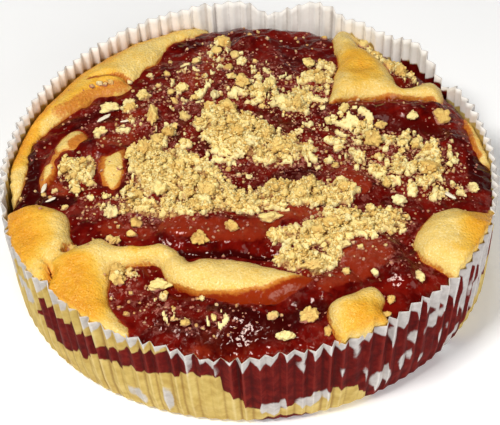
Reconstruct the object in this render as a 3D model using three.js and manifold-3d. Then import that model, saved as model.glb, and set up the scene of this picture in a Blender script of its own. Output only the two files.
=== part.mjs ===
// A crumb cake in its pleated paper case: a round of pale yellow sponge with cherry filling folded
// through it, so that rounded lobes of sponge stand out of the dark red filling, and a strewing of
// biscuit crumbs over the middle. The case stands higher than the cake behind and level with it in front.
// Millimetres, +Z up. The origin is the middle of the flat base, and +Y is the tall back of the case.
import * as THREE from "three";
import { mergeVertices } from "three/addons/utils/BufferGeometryUtils.js";
import Module from "manifold-3d";

// ---- Driving dimensions ----
const RIM_RADIUS = 79.2; // mean radius of the case at its rim
const BASE_RADIUS = 76.2; // mean radius of its flat base
const RIM_HEIGHT = 40.5; // mean height of the rim
const RIM_RISE_BACK = 3.8; // how much higher the back of the rim is, and the front lower
const RIM_RISE_LEFT = 1.2;
const BULGE_HEIGHT = 10; // the wall bulges: at this height it is already half way out to the rim
const BULGE_SHARE = 0.5;
// Places where the rim is pressed down or stands up: direction and half width in degrees.
const RIM_WAVES = [
  { at: 82, half: 8, rise: -5 },
  { at: 69, half: 8, rise: 3 },
  { at: 40, half: 8, rise: 4 },
  { at: 28, half: 6, rise: -5 },
  { at: -166, half: 7, rise: -6 },
];
const PLEATS = 120;
const PLEAT_DEPTH = 2.2; // from crest to valley at the rim
const PLEAT_DEPTH_FOOT = 0.5;
const FOLD_REACH = 0.62; // share of the pleat depth that the deepest folds reach inwards
const PAPER = 0.6; // wall thickness of the case
const FLOOR = 0.4; // thickness of its floor
const GAP = 0.3; // clearance between the cake, the filling and the case

const CROWN = 42.5; // height of the cake's middle
const CROWN_FALL = 4.5; // fall from the middle to the shoulder
const SHOULDER_START = 0.88; // share of the radius where the edge begins to round over
const SHOULDER_DROP = 4.5; // mean drop over the shoulder
const SHOULDER_DROP_BACK = 3.5; // further drop at the back, and less in front
const BASIN = 2.4; // depth of the filling between the lobes
const EDGE_DEPTH = 0.8; // the filling thins to about this much, and then ends
const EDGE_STEEPNESS = 4;
const SHORE_DEPTH = (EDGE_DEPTH * EDGE_STEEPNESS) / (1 + EDGE_STEEPNESS); // its depth where it ends

const CRUMBS = 86; // crumbs fused to the top
const CRUMB_SIZES = { largest: 2.9, smallest: 1.5 }; // radii
const CRUMB_SCATTER = 0.05; // share of places that hold a crumb away from the heaps
const CRUMB_SQUASH = 0.8;
const CRUMB_LIFT = 0.3; // height of a crumb's middle over what it lies on, in radii

const GRID = 32; // cells across the cake's top
const SMALLEST_EDGE = 0.05;
const TAU = Math.PI * 2;
const DEG = Math.PI / 180;

// ---- Sponge lobes. Each is a rounded ridge along a spine of [x, y, half width], standing `rise`
// above the filling round it.
const LOBES = {
  crescent: {
    rise: 4,
    spine: [
      [-75, -3, 2.6], [-74, 12, 3.2], [-66, 30, 6.6], [-56, 41, 9.6],
      [-43, 51, 10.4], [-30, 62, 7], [-15, 70, 5], [-8, 71.5, 3],
    ],
  },
  crescentFold: { rise: 3.4, spine: [[-48, 38, 3.2], [-39, 40.5, 2.8]] },
  leftFront: { rise: 5.5, spine: [[-64.5, -27, 9.8], [-62.5, -38, 9]] },
  frontLeft: { rise: 5.2, spine: [[-53, -47, 8.5], [-50, -58, 9.4], [-45, -66, 7.5]] },
  paleBand: { rise: 4, spine: [[-50, -40, 6.5], [-39, -41, 5], [-28, -41.5, 5]] },
  frontLong: { rise: 5, spine: [[-24, -45, 4.6], [-14, -51, 8], [-3, -53, 8.6], [8, -53.5, 5]] },
  frontRight: { rise: 6, spine: [[24.5, -69, 8.6], [32, -67, 9]] },
  frontRightNub: { rise: 3.6, spine: [[32.5, -65, 3.8], [34.5, -61.5, 3.4]] },
  rightFront: { rise: 6, spine: [[58.5, -39, 10.8], [58.5, -48, 9.8]] },
  rightFrontTail: { rise: 4.4, spine: [[62, -36, 7.5], [71, -32, 4.5]] },
  rightEdge: { rise: 2.2, spine: [[73.5, 20, 2.2], [75.5, 8, 2.2], [75.5, -2, 3.2], [75.5, -7, 2.2]] },
  backRight: { rise: 5.6, spine: [[38.5, 66, 6.6], [38, 57, 6], [39.5, 46, 8.4], [40.5, 36, 10.4]] },
  backRightOuter: { rise: 3.8, spine: [[44.5, 62, 3.4], [46, 57, 2.6]] },
  rightBack: { rise: 4.4, spine: [[54, 30, 5.2], [62.5, 30.5, 5.8]] },
  innerLeft: { rise: 3, spine: [[-43.5, 3, 4.6], [-43, -7, 4.8]] },
  leftCurl: { rise: 2.6, spine: [[-65.5, -4, 2.4], [-64.5, 4, 2.8], [-59.5, 12, 4.8], [-55, 16, 4]] },
};

// Narrow seams where filling shows along a fold in the sponge.
const SEAMS = [
  { rise: 3.5, spine: [[-54, 42, 1.2], [-49, 44.6, 1.6], [-42, 44.4, 1.6], [-37, 42, 1.4]] },
  { rise: 5, spine: [[40, 61, 1.3], [44, 56, 1.8], [48, 49.5, 2.4], [52, 41, 3.2], [54, 37, 2.6]] },
  { rise: 5, spine: [[-60.5, -47, 1.1], [-57, -52, 1.2], [-56, -57, 1]] },
];

// Low mounds of sponge that the filling still covers.
const MOUNDS = [
  { rise: 2.6, spine: [[-17, -30, 8.5], [-2, -32, 8]] },
  { rise: 3, spine: [[32, -45, 8], [38, -43, 6.5]] },
  { rise: 2, spine: [[16, -28, 6], [25, -27, 4.5]] },
  { rise: 2.4, spine: [[-47, 14, 7], [-50, 9, 5]] },
  { rise: 2.2, spine: [[0, 64, 7], [8, 62, 5]] },
  { rise: 2, spine: [[-14, 46, 9], [-6, 40, 8]] },
  { rise: 2, spine: [[14, -58, 5], [26, -54, 5]] },
];

// Hollows in the general dome.
const HOLLOWS = [
  { rise: 6.5, spine: [[10, 76, 13], [24, 76, 15]] },
  { rise: 2.5, spine: [[-2, 76, 9], [-8, 76, 7]] },
  { rise: 3, spine: [[-78, -10, 12], [-74, -9, 9]] },
];

// Heaps of crumbs: spines with half widths, as high as `rise`. The filling swells under them.
const HEAP_SHARE = 0.6;
const TALLEST_HEAP = 3.2;
const HEAPS = [
  { rise: 3.2, spine: [[-3, 21, 9], [3, 12, 11], [11, 4, 9], [19, 2, 6]] },
  { rise: 3, spine: [[-27, 3, 8], [-24, -8, 12], [-14, -14, 9], [-8, -20, 5]] },
  { rise: 2.6, spine: [[-34, -22, 3.5], [-21, -23, 3.5], [-5, -20, 4.5], [9, -18, 6.5], [24, -19, 7]] },
  { rise: 2.8, spine: [[13, -34, 4], [21, -34, 6], [30, -31, 7], [38, -31, 5.5], [44, -33, 3.5]] },
  { rise: 2.2, spine: [[9, 28, 6], [15, 25, 4.5]] },
  { rise: 2, spine: [[20, 31, 4], [25, 40, 4.5], [27, 47, 3.5]] },
  { rise: 2, spine: [[-57, -2, 4.5], [-53, -4, 4.5], [-54, 4, 4]] },
  { rise: 1.8, spine: [[41, -7, 4.5], [46, -13, 3.5], [51, -20, 4.5], [57, -24, 3.5]] },
  { rise: 1.6, spine: [[57, -10, 4], [62, -16, 5]] },
  { rise: 2, spine: [[16, -47, 4], [20, -49, 4]] },
];

// Where the filling shows down the side of the cake: [first, last] direction in degrees, and the
// height of its lower edge at the side.
const SIDE_POCKETS = [
  { from: -136, to: -119, low: 25 },
  { from: -119, to: -97, low: 27 },
  { from: -97, to: -32, low: 6 },
  { from: 168, to: 196, low: 24 },
  { from: 62, to: 86, low: 18 },
];
const LOBE_FILLS_POCKET = 0.75; // share of a pocket that a lobe over it takes up
const POCKET_REACH = 0.13; // how far in from the side, as a share of the radius
const POCKET_FADE = 7 * DEG;

// ---- Small tools ----
const mix = (a, b, t) => a + (b - a) * t;
const clamp01 = (t) => Math.min(1, Math.max(0, t));
const smooth = (t) => clamp01(t) ** 2 * (3 - 2 * clamp01(t));

// Repeatable random numbers from 0 to 1.
function randomFrom(seed) {
  let state = seed >>> 0;
  return () => {
    state = (state + 0x6d2b79f5) >>> 0;
    let t = state;
    t = Math.imul(t ^ (t >>> 15), t | 1);
    t ^= t + Math.imul(t ^ (t >>> 7), t | 61);
    return ((t ^ (t >>> 14)) >>> 0) / 4294967296;
  };
}

// ---- The case's outline ----
const rimRadius = (a) => RIM_RADIUS - Math.cos(2 * a) - Math.sin(3 * a);
const baseRadius = (a) => BASE_RADIUS + 2.3 * Math.cos(2 * a) + 0.2 * Math.cos(4 * a);
const turnBetween = (a, b) => Math.abs(Math.atan2(Math.sin(a - b), Math.cos(a - b)));
function rimHeight(a) {
  let waves = 0;
  for (const { at, half, rise } of RIM_WAVES) {
    waves += rise * smooth(1 - turnBetween(a, at * DEG) / (half * DEG));
  }
  return RIM_HEIGHT - RIM_RISE_LEFT * Math.cos(a) + RIM_RISE_BACK * Math.sin(a) + waves;
}

// Radius of the wall's middle at height z.
function wallRadius(a, z) {
  const bulge = mix(baseRadius(a), rimRadius(a), BULGE_SHARE);
  if (z < BULGE_HEIGHT) return mix(baseRadius(a), bulge, z / BULGE_HEIGHT);
  return mix(bulge, rimRadius(a), (z - BULGE_HEIGHT) / (rimHeight(a) - BULGE_HEIGHT));
}
const pleatDepth = (a, z) => mix(PLEAT_DEPTH_FOOT, PLEAT_DEPTH, clamp01(z / rimHeight(a)));
// Radius of the cake's side: clear of the case's inward folds.
const sideRadius = (a, z) => wallRadius(a, z) - pleatDepth(a, z) * FOLD_REACH - PAPER / 2 - GAP;

// One fold of the pleated wall: its direction, how far it stands in or out, and the rim's ragged lift.
function fold(i) {
  const pitch = TAU / (2 * PLEATS);
  return {
    angle: pitch * (i + 0.28 * Math.sin(1.7 * i) * Math.sin(0.31 * i)),
    side: (i % 2 ? -1 : 1) * (0.8 + 0.3 * Math.sin(0.73 * i + 1) * Math.sin(0.17 * i)),
    lift: 0.5 * Math.sin(1.1 * i) * Math.sin(0.23 * i + 2) + 0.35 * Math.sin(0.13 * i),
  };
}

// ---- The cake's surface ----
// Sways a point a little, so that no outline is a perfect curve.
function sway(x, y) {
  return [
    x + 0.9 * Math.sin(0.31 * y + 1.3) + 0.5 * Math.sin(0.83 * y + 0.27 * x),
    y + 0.9 * Math.sin(0.29 * x + 0.4) + 0.5 * Math.sin(0.77 * x - 0.31 * y),
  ];
}

// How far a point is from a spine, as a share of the half width there.
function across(spine, x, y) {
  let least = Infinity;
  for (let i = 0; i + 1 < spine.length; i++) {
    const [ax, ay, aw] = spine[i];
    const [bx, by, bw] = spine[i + 1];
    const dx = bx - ax;
    const dy = by - ay;
    const t = clamp01(((x - ax) * dx + (y - ay) * dy) / (dx * dx + dy * dy));
    least = Math.min(least, Math.hypot(x - ax - t * dx, y - ay - t * dy) / mix(aw, bw, t));
  }
  return least;
}
const pillow = (rho) => Math.sqrt(Math.max(0, 1 - rho * rho));

// The general dome, without lobes: k is the share of the way out to the side.
function dome(k, a) {
  const s = clamp01((k - SHOULDER_START) / (1 - SHOULDER_START));
  const drop = SHOULDER_DROP + SHOULDER_DROP_BACK * Math.sin(a);
  return CROWN - CROWN_FALL * k * k - drop * (1 - Math.sqrt(1 - 0.96 * s * s));
}
const edgeRadius = (a) => sideRadius(a, dome(1, a));

// How far the sponge is hollowed out at the side, down to a pocket's lower edge.
function pocketDepth(k, a, level) {
  let deepest = 0;
  for (const { from, to, low } of SIDE_POCKETS) {
    const half = ((to - from) / 2) * DEG;
    const middle = ((to + from) / 2) * DEG;
    const along = smooth((half - turnBetween(a, middle)) / POCKET_FADE + 0.5);
    deepest = Math.max(deepest, (level - low) * along * smooth((k - 1 + POCKET_REACH) / POCKET_REACH));
  }
  return deepest;
}

// The greatest of some ridges at a point, each with its own profile from the middle to its edge.
function greatest(ridges, x, y, profile, extra = 0) {
  let most = 0;
  for (const { rise, spine } of ridges) {
    most = Math.max(most, (rise + extra) * profile(across(spine, x, y)));
  }
  return most;
}
const heapProfile = (rho) => smooth(1.6 * (1.05 - rho)); // flat on top, and gone just past its width

// Heights of the sponge and of the top of the filling, at a share k of the way out in direction a.
function heightsAt(k, a) {
  const r = k * edgeRadius(a);
  const [x, y] = sway(r * Math.cos(a), r * Math.sin(a));
  const level = dome(k, a) - greatest(HOLLOWS, x, y, heapProfile);
  const mound = greatest(MOUNDS, x, y, pillow);
  const heap = greatest(HEAPS, x, y, heapProfile);
  const lobe = greatest(Object.values(LOBES), x, y, pillow, BASIN);
  const seam = greatest(SEAMS, x, y, pillow);
  const pocket = pocketDepth(k, a, level - BASIN) * (1 - LOBE_FILLS_POCKET * clamp01(lobe / BASIN));
  const sponge = level - BASIN + Math.max(mound, lobe - seam) - pocket;
  const filling = level + mound + HEAP_SHARE * heap;
  return { sponge, filling, depth: filling - sponge - GAP, heaped: heap / TALLEST_HEAP, k };
}
const heights = (x, y) => {
  const a = Math.atan2(y, x);
  return heightsAt(Math.min(1, Math.hypot(x, y) / edgeRadius(a)), a);
};

// ---- Solids as indexed triangles ----
class Faces {
  positions = [];
  triangles = [];
  point(x, y, z) {
    return this.positions.push([x, y, z]) - 1;
  }
  face(a, b, c) {
    if (a !== b && b !== c && c !== a) this.triangles.push([a, b, c]);
  }
  quad(a, b, c, d) {
    this.face(a, b, c);
    this.face(a, c, d);
  }
  // Joins two rings of points, the upper one second.
  band(lower, upper) {
    lower.forEach((_, i) => {
      const j = (i + 1) % lower.length;
      this.quad(lower[i], lower[j], upper[j], upper[i]);
    });
  }
  // Closes a ring of points from below.
  cap(ring, z) {
    const centre = this.point(0, 0, z);
    ring.forEach((v, i) => this.face(centre, ring[(i + 1) % ring.length], v));
  }
  geometry() {
    const made = new THREE.BufferGeometry();
    made.setAttribute("position", new THREE.Float32BufferAttribute(this.positions.flat(), 3));
    made.setIndex(this.triangles.flat());
    return made;
  }
}

// ---- The case ----
function paperCase() {
  const faces = new Faces();
  // A ring of folds at height z, or at the rim, on the outer (1) or inner (-1) face of the paper.
  const ring = (face, z) =>
    Array.from({ length: 2 * PLEATS }, (_, i) => {
      const { angle, side, lift } = fold(i);
      const height = z ?? rimHeight(angle) + lift;
      const r = wallRadius(angle, height) + (side * pleatDepth(angle, height) + face * PAPER) / 2;
      return faces.point(r * Math.cos(angle), r * Math.sin(angle), height);
    });
  const outer = [ring(1, 0), ring(1, BULGE_HEIGHT), ring(1)];
  const inner = [ring(-1, FLOOR), ring(-1, BULGE_HEIGHT), ring(-1)];
  faces.band(outer[0], outer[1]);
  faces.band(outer[1], outer[2]);
  faces.band(outer[2], inner[2]);
  faces.band(inner[2], inner[1]);
  faces.band(inner[1], inner[0]);
  faces.cap(outer[0], 0);
  faces.cap(inner[0].toReversed(), FLOOR);
  return faces.geometry();
}

// ---- The cake's top ----
// A square grid mapped onto the disc, so that its cells are all about as large. Its points are in a
// disc of radius 1, and those near the filling's edge are moved onto it.
function discGrid() {
  const points = [];
  for (let j = 0; j <= GRID; j++) {
    for (let i = 0; i <= GRID; i++) {
      const u = (2 * i) / GRID - 1;
      const v = (2 * j) / GRID - 1;
      const wide = Math.abs(u) > Math.abs(v);
      const out = wide ? u : v;
      const turn = out === 0 ? 0 : (Math.PI / 4) * (wide ? v / u : u / v);
      const angle = wide ? turn : Math.PI / 2 - turn;
      points.push({ x: out * Math.cos(angle), y: out * Math.sin(angle), side: Math.abs(out) === 1 });
    }
  }
  const id = (i, j) => j * (GRID + 1) + i;
  const triangles = [];
  for (let j = 0; j < GRID; j++) {
    for (let i = 0; i < GRID; i++) {
      const [a, b, c, d] = [id(i, j), id(i + 1, j), id(i + 1, j + 1), id(i, j + 1)];
      const outwards = i < GRID / 2 === j < GRID / 2; // which of the cell's diagonals runs outwards
      if (outwards) triangles.push([a, b, c], [a, c, d]);
      else triangles.push([a, b, d], [b, c, d]);
    }
  }
  const border = [];
  for (let n = 0; n < GRID; n++) border.push(id(n, 0));
  for (let n = 0; n < GRID; n++) border.push(id(GRID, n));
  for (let n = GRID; n > 0; n--) border.push(id(n, GRID));
  for (let n = GRID; n > 0; n--) border.push(id(0, n));
  moveToShore(points, triangles);
  for (const p of points) {
    p.k = p.side ? 1 : Math.hypot(p.x, p.y);
    p.angle = Math.atan2(p.y, p.x);
  }
  return { points, triangles, border };
}

// Moves grid points onto the line where the filling ends, each along the edge that gets it there
// soonest, and never past the middle of that edge.
function moveToShore(points, triangles) {
  const depthAt = (x, y) => heightsAt(Math.min(1, Math.hypot(x, y)), Math.atan2(y, x)).depth;
  const above = (x, y) => depthAt(x, y) - SHORE_DEPTH;
  const start = points.map((p) => above(p.x, p.y));
  const best = new Map();
  for (const triangle of triangles) {
    for (let n = 0; n < 6; n++) {
      const from = triangle[n % 3];
      const to = triangle[(n + (n < 3 ? 1 : 2)) % 3];
      if (points[from].side || start[from] * start[to] >= 0) continue;
      const share = start[from] / (start[from] - start[to]);
      if (share < 0.5 && share < (best.get(from)?.share ?? 1)) best.set(from, { share, to });
    }
  }
  const moved = [...best].map(([from, { to }]) => {
    const [p, q] = [points[from], points[to]];
    let [near, far] = [0, 1];
    for (let n = 0; n < 8; n++) {
      const t = (near + far) / 2;
      if (above(mix(p.x, q.x, t), mix(p.y, q.y, t)) * start[from] > 0) near = t;
      else far = t;
    }
    const share = Math.min(near, 0.5);
    return { p, x: mix(p.x, q.x, share), y: mix(p.y, q.y, share) };
  });
  for (const { p, x, y } of moved) Object.assign(p, { x, y });
}

const grid = discGrid();

// A solid with the given heights on top, sides that follow the case, and a flat underside.
function cakeSolid(heightAt) {
  const faces = new Faces();
  const put = (angle, z, k = 1) => {
    const r = k * sideRadius(angle, z);
    return faces.point(r * Math.cos(angle), r * Math.sin(angle), z);
  };
  const tops = grid.points.map(({ k, angle }) => heightAt(k, angle));
  grid.points.forEach(({ k, angle }, v) => put(angle, tops[v], k));
  for (const triangle of grid.triangles) faces.face(...triangle);
  const side = grid.border.map((v) => put(grid.points[v].angle, Math.min(BULGE_HEIGHT, tops[v] - 1)));
  const foot = grid.border.map((v) => put(grid.points[v].angle, FLOOR + GAP));
  faces.band(side, grid.border);
  faces.band(foot, side);
  faces.cap(foot, FLOOR + GAP);
  return faces.geometry();
}

// All that the filling must keep out of: the sponge raised by the clearance, steeper where the
// filling would run out to a feather edge, and carried on outwards.
function spongeKeepOut() {
  const faces = new Faces();
  const put = (angle, r, z) => faces.point(r * Math.cos(angle), r * Math.sin(angle), z);
  const tops = grid.points.map(({ k, angle }) => {
    const { sponge, depth } = heightsAt(k, angle);
    const z = sponge + GAP + EDGE_STEEPNESS * Math.max(0, EDGE_DEPTH - Math.max(depth, -EDGE_DEPTH));
    put(angle, k * sideRadius(angle, sponge), z);
    return z;
  });
  for (const triangle of grid.triangles) faces.face(...triangle);
  const wide = RIM_RADIUS * 1.1;
  const outer = grid.border.map((v) => put(grid.points[v].angle, wide, tops[v]));
  const foot = grid.border.map((v) => put(grid.points[v].angle, wide, -GAP));
  faces.band(outer, grid.border);
  faces.band(foot, outer);
  faces.cap(foot, -GAP);
  return faces.geometry();
}

// ---- Crumbs ----
// Places for the crumbs, largest first: in the heaps, and clear of the edge between sponge and filling.
function crumbPlaces() {
  const random = randomFrom(29);
  const places = [];
  for (let tries = 0; places.length < CRUMBS && tries < 20000; tries++) {
    const share = places.length / CRUMBS;
    const r = mix(CRUMB_SIZES.largest, CRUMB_SIZES.smallest, Math.sqrt(share)) * mix(0.9, 1.1, random());
    const x = mix(-72, 72, random());
    const y = mix(-68, 68, random());
    const here = heights(x, y);
    if (here.k > 0.93 || random() > CRUMB_SCATTER + here.heaped) continue;
    if (places.some((p) => Math.hypot(p.x - x, p.y - y) < (p.r + r) * 1.02)) continue;
    const onFilling = here.depth > 0;
    let clear = true;
    for (let n = 0; n < 8; n++) {
      const reach = r * 1.2 + GAP;
      const near = heights(x + reach * Math.cos((n * TAU) / 8), y + reach * Math.sin((n * TAU) / 8));
      if (near.depth > 0 !== onFilling || Math.abs(near.depth) < GAP) clear = false;
    }
    if (clear) places.push({ x, y, z: Math.max(here.sponge, here.filling), r, onFilling, seed: tries });
  }
  return places;
}

// A rough little lump: a twenty-sided ball with its corners pushed in and out.
function crumbGeometry({ x, y, z, r, seed }, grow = 0) {
  const random = randomFrom(seed);
  const lump = mergeVertices(bare(new THREE.IcosahedronGeometry(r + grow, 0)));
  const corners = lump.getAttribute("position");
  const corner = new THREE.Vector3();
  const turn = new THREE.Euler(random() * TAU, random() * TAU, random() * TAU);
  for (let i = 0; i < corners.count; i++) {
    corner.fromBufferAttribute(corners, i).multiplyScalar(mix(0.78, 1.16, random())).applyEuler(turn);
    corners.setXYZ(i, x + corner.x, y + corner.y, z + r * CRUMB_LIFT + corner.z * CRUMB_SQUASH);
  }
  return lump;
}

// ---- Solids ----
const wasm = await Module();
wasm.setup();

function bare(geometry) {
  geometry.deleteAttribute("normal");
  geometry.deleteAttribute("uv");
  return geometry;
}

function toSolid(geometry) {
  const vertProperties = new Float32Array(geometry.getAttribute("position").array);
  const triVerts = new Uint32Array(geometry.getIndex().array);
  return new wasm.Manifold(new wasm.Mesh({ numProp: 3, vertProperties, triVerts }));
}

// The largest body of a solid, without loose scraps.
function largestBody(solid) {
  return solid.decompose().reduce((a, b) => (b.volume() > a.volume() ? b : a));
}

function toMesh(name, solid, material) {
  const made = solid.getMesh();
  const geometry = new THREE.BufferGeometry();
  geometry.setAttribute("position", new THREE.Float32BufferAttribute(made.vertProperties, 3));
  geometry.setIndex(new THREE.Uint32BufferAttribute(made.triVerts, 1));
  geometry.computeVertexNormals();
  const mesh = new THREE.Mesh(geometry, material);
  mesh.name = name;
  return mesh;
}

const places = crumbPlaces();
const crumbsOn = (filling, grow) =>
  places.filter((place) => place.onFilling === filling).map((place) => toSolid(crumbGeometry(place, grow)));
const join = (solids) => wasm.Manifold.union(solids);

const spongeTop = toSolid(cakeSolid((k, a) => heightsAt(k, a).sponge));
const sponge = largestBody(join([spongeTop, ...crumbsOn(false, 0)]));
const fillingTop = toSolid(cakeSolid((k, a) => heightsAt(k, a).filling));
const keepOut = join([toSolid(spongeKeepOut()), ...crumbsOn(false, 2 * GAP)]);
const wholeFilling = join([fillingTop, ...crumbsOn(true, 0)]).subtract(keepOut);
const filling = largestBody(wholeFilling).simplify(SMALLEST_EDGE);

const paper = new THREE.MeshStandardMaterial({ color: "#e8ded2", roughness: 0.8 });
const baked = new THREE.MeshStandardMaterial({ color: "#eec468", roughness: 0.7 });
const fruit = new THREE.MeshStandardMaterial({ color: "#5c100a", roughness: 0.3 });
const cake = new THREE.Group();
cake.name = "crumb_cake";
cake.add(toMesh("paper_case", toSolid(paperCase()), paper));
cake.add(toMesh("sponge", sponge, baked));
cake.add(toMesh("cherry_filling", filling, fruit));

// The origin is under the middle of the whole.
const middle = new THREE.Box3().setFromObject(cake).getCenter(new THREE.Vector3());
cake.position.set(-middle.x, -middle.y, 0);
export default cake;
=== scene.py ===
"""The looks of a crumb cake in its pleated paper case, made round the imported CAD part.

Sizes are in millimetres until the meshes are written, and angles in the tables in degrees. +X is right
and +Y the tall back of the case. Outlines and crumbs on the cake's top are given as they look from the
camera on a level plane SEEN_HEIGHT above the base, and are moved along the line of sight onto the cake.
A spine is a row of (x, y, half width) points on that plane.
"""

import itertools
import math

import bmesh
import bpy
import numpy as np
from mathutils import Matrix, Vector


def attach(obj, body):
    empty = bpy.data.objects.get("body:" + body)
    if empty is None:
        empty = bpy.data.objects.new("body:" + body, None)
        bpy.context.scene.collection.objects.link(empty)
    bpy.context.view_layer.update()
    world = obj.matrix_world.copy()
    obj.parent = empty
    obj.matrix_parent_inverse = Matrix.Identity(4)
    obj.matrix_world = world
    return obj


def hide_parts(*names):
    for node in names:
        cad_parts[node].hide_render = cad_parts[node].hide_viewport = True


MM = 0.001
TAU = 2 * math.pi

# ---- The case, as in the CAD source ----
RIM_RADIUS = 79.2
BASE_RADIUS = 76.2
RIM_HEIGHT = 40.5
RIM_RISE_BACK = 3.8
RIM_RISE_LEFT = 1.2
BULGE_HEIGHT = 10
BULGE_SHARE = 0.5
# Places where the rim is pressed down or stands up: direction, half width, rise.
RIM_WAVES = [
    (82, 8, -5), (69, 8, 3), (40, 8, 4), (28, 6, -5), (-166, 7, -6), (-98, 14, -2.4), (-139, 9, 2.5),
    (-55, 14, 2.2),
]
FOLDS = 240  # two to a pleat
PLEAT_DEPTH = 2.2  # from crest to valley at the rim
PLEAT_DEPTH_FOOT = 0.5
FOLD_REACH = 0.62  # share of the pleat depth that the deepest folds reach inwards
PAPER = 0.6
FLOOR = 0.4
GAP = 0.3  # between the cake and the case

# ---- The cake, as in the CAD source ----
CROWN = 42.5
CROWN_FALL = 4.5
SHOULDER_START = 0.88
SHOULDER_DROP = 4.5
SHOULDER_DROP_BACK = 3.5
BASIN = 2.4  # depth of the filling between the lobes

# ---- The case and the cake's edge, as the scene alone has them ----
THIN_PAPER = 0.3
RIM_LEAN = 0.002  # radians that the folds lean to the side
BUCKLE = 0.12
FOOT_CURL = 1.6  # how far the foot of the wall curls in
FOOT_CURL_HEIGHT = 2.2
BULGE_OVER_RIM = 0.5  # how far the lobes lean out over the rim
LEFT_INSET = 1.8  # how far the cake stands off the paper at the left
LEFT_INSET_AT = -170
LEFT_INSET_HALF = 10
FLUTED_FROM = 0.965  # share of the radius from which the cake's edge follows the pleats
FLUTED_FOOT = 12  # height from which it does
FLUTED_FADE = 10
PAPER_GAP = 0.25  # between the cake's edge and the paper in front
PAPER_GAP_BACK = 0.1
REACH_BACK = 0.55  # share of the pleat depth that the edge keeps clear of at the back

# ---- Camera and the plane that the top was drawn on ----
CAMERA_DISTANCE = 450.0
CAMERA_ELEVATION = 43.3
CAMERA_ROLL = -3.0
CAMERA_TARGET = 20.0
SEEN_HEIGHT = 40.0
FOCAL_PIXELS = 1360.0
FRAME_WIDTH = 500.0
SENSOR = 36.0
SHIFT_Y = -0.015

# ---- Floor and light, in metres and watts ----
FLOOR_HALF = 1.5
FLOOR_GLOW = 0.13
FLOOR_DROP = 0.0001
WORLD_STRENGTH = 0.11
LIGHT_AIM = (0, 0, 0.03)
# Name, place, size, power and colour.
LIGHTS = [
    ("key", (-0.28, -0.3, 0.7), 0.16, 4.85, (1.0, 0.985, 0.96)),
    ("fill", (0.42, -0.7, 0.42), 0.5, 3.6),
    ("glint_top", (0.02, 0.08, 1.3), 0.025, 0.6),
    ("glint_back", (0.08, 0.34, 0.5), 0.02, 0.1),
    ("glint_left", (-0.42, 0.12, 0.5), 0.03, 0.2),
]

# ---- Meshes ----
SPAN = 86.0  # half the side of the square maps
STEP = 0.4  # their spacing
OUTLINE_MARGIN = 14  # how far from a lobe's outline distances are worked out
FAR_OUT = -99.0  # the distance given beyond that
RIM_SLOPE = 0.6  # how steeply the filling rises from the rim
HEAP_SHARE = 0.3  # share of a heap's height that the filling under it takes up
POOL_CALM = 0.3  # share of the filling's lumps that a pool smooths out
GRID = 200  # cells across the cake's top
SIDE_SHARES = (0, 0.2, 0.45, 0.7, 0.88)  # heights of the rings down the cake's side
SKIN_DEPTH = 1.0  # how far the filling's underside lies under the cake's top
BED_DEPTH = 1.2  # the same for the closed crumb bed
WALL_PER_FOLD = 3
WALL_ROWS = 44
INNER_ROWS = 14

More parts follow.
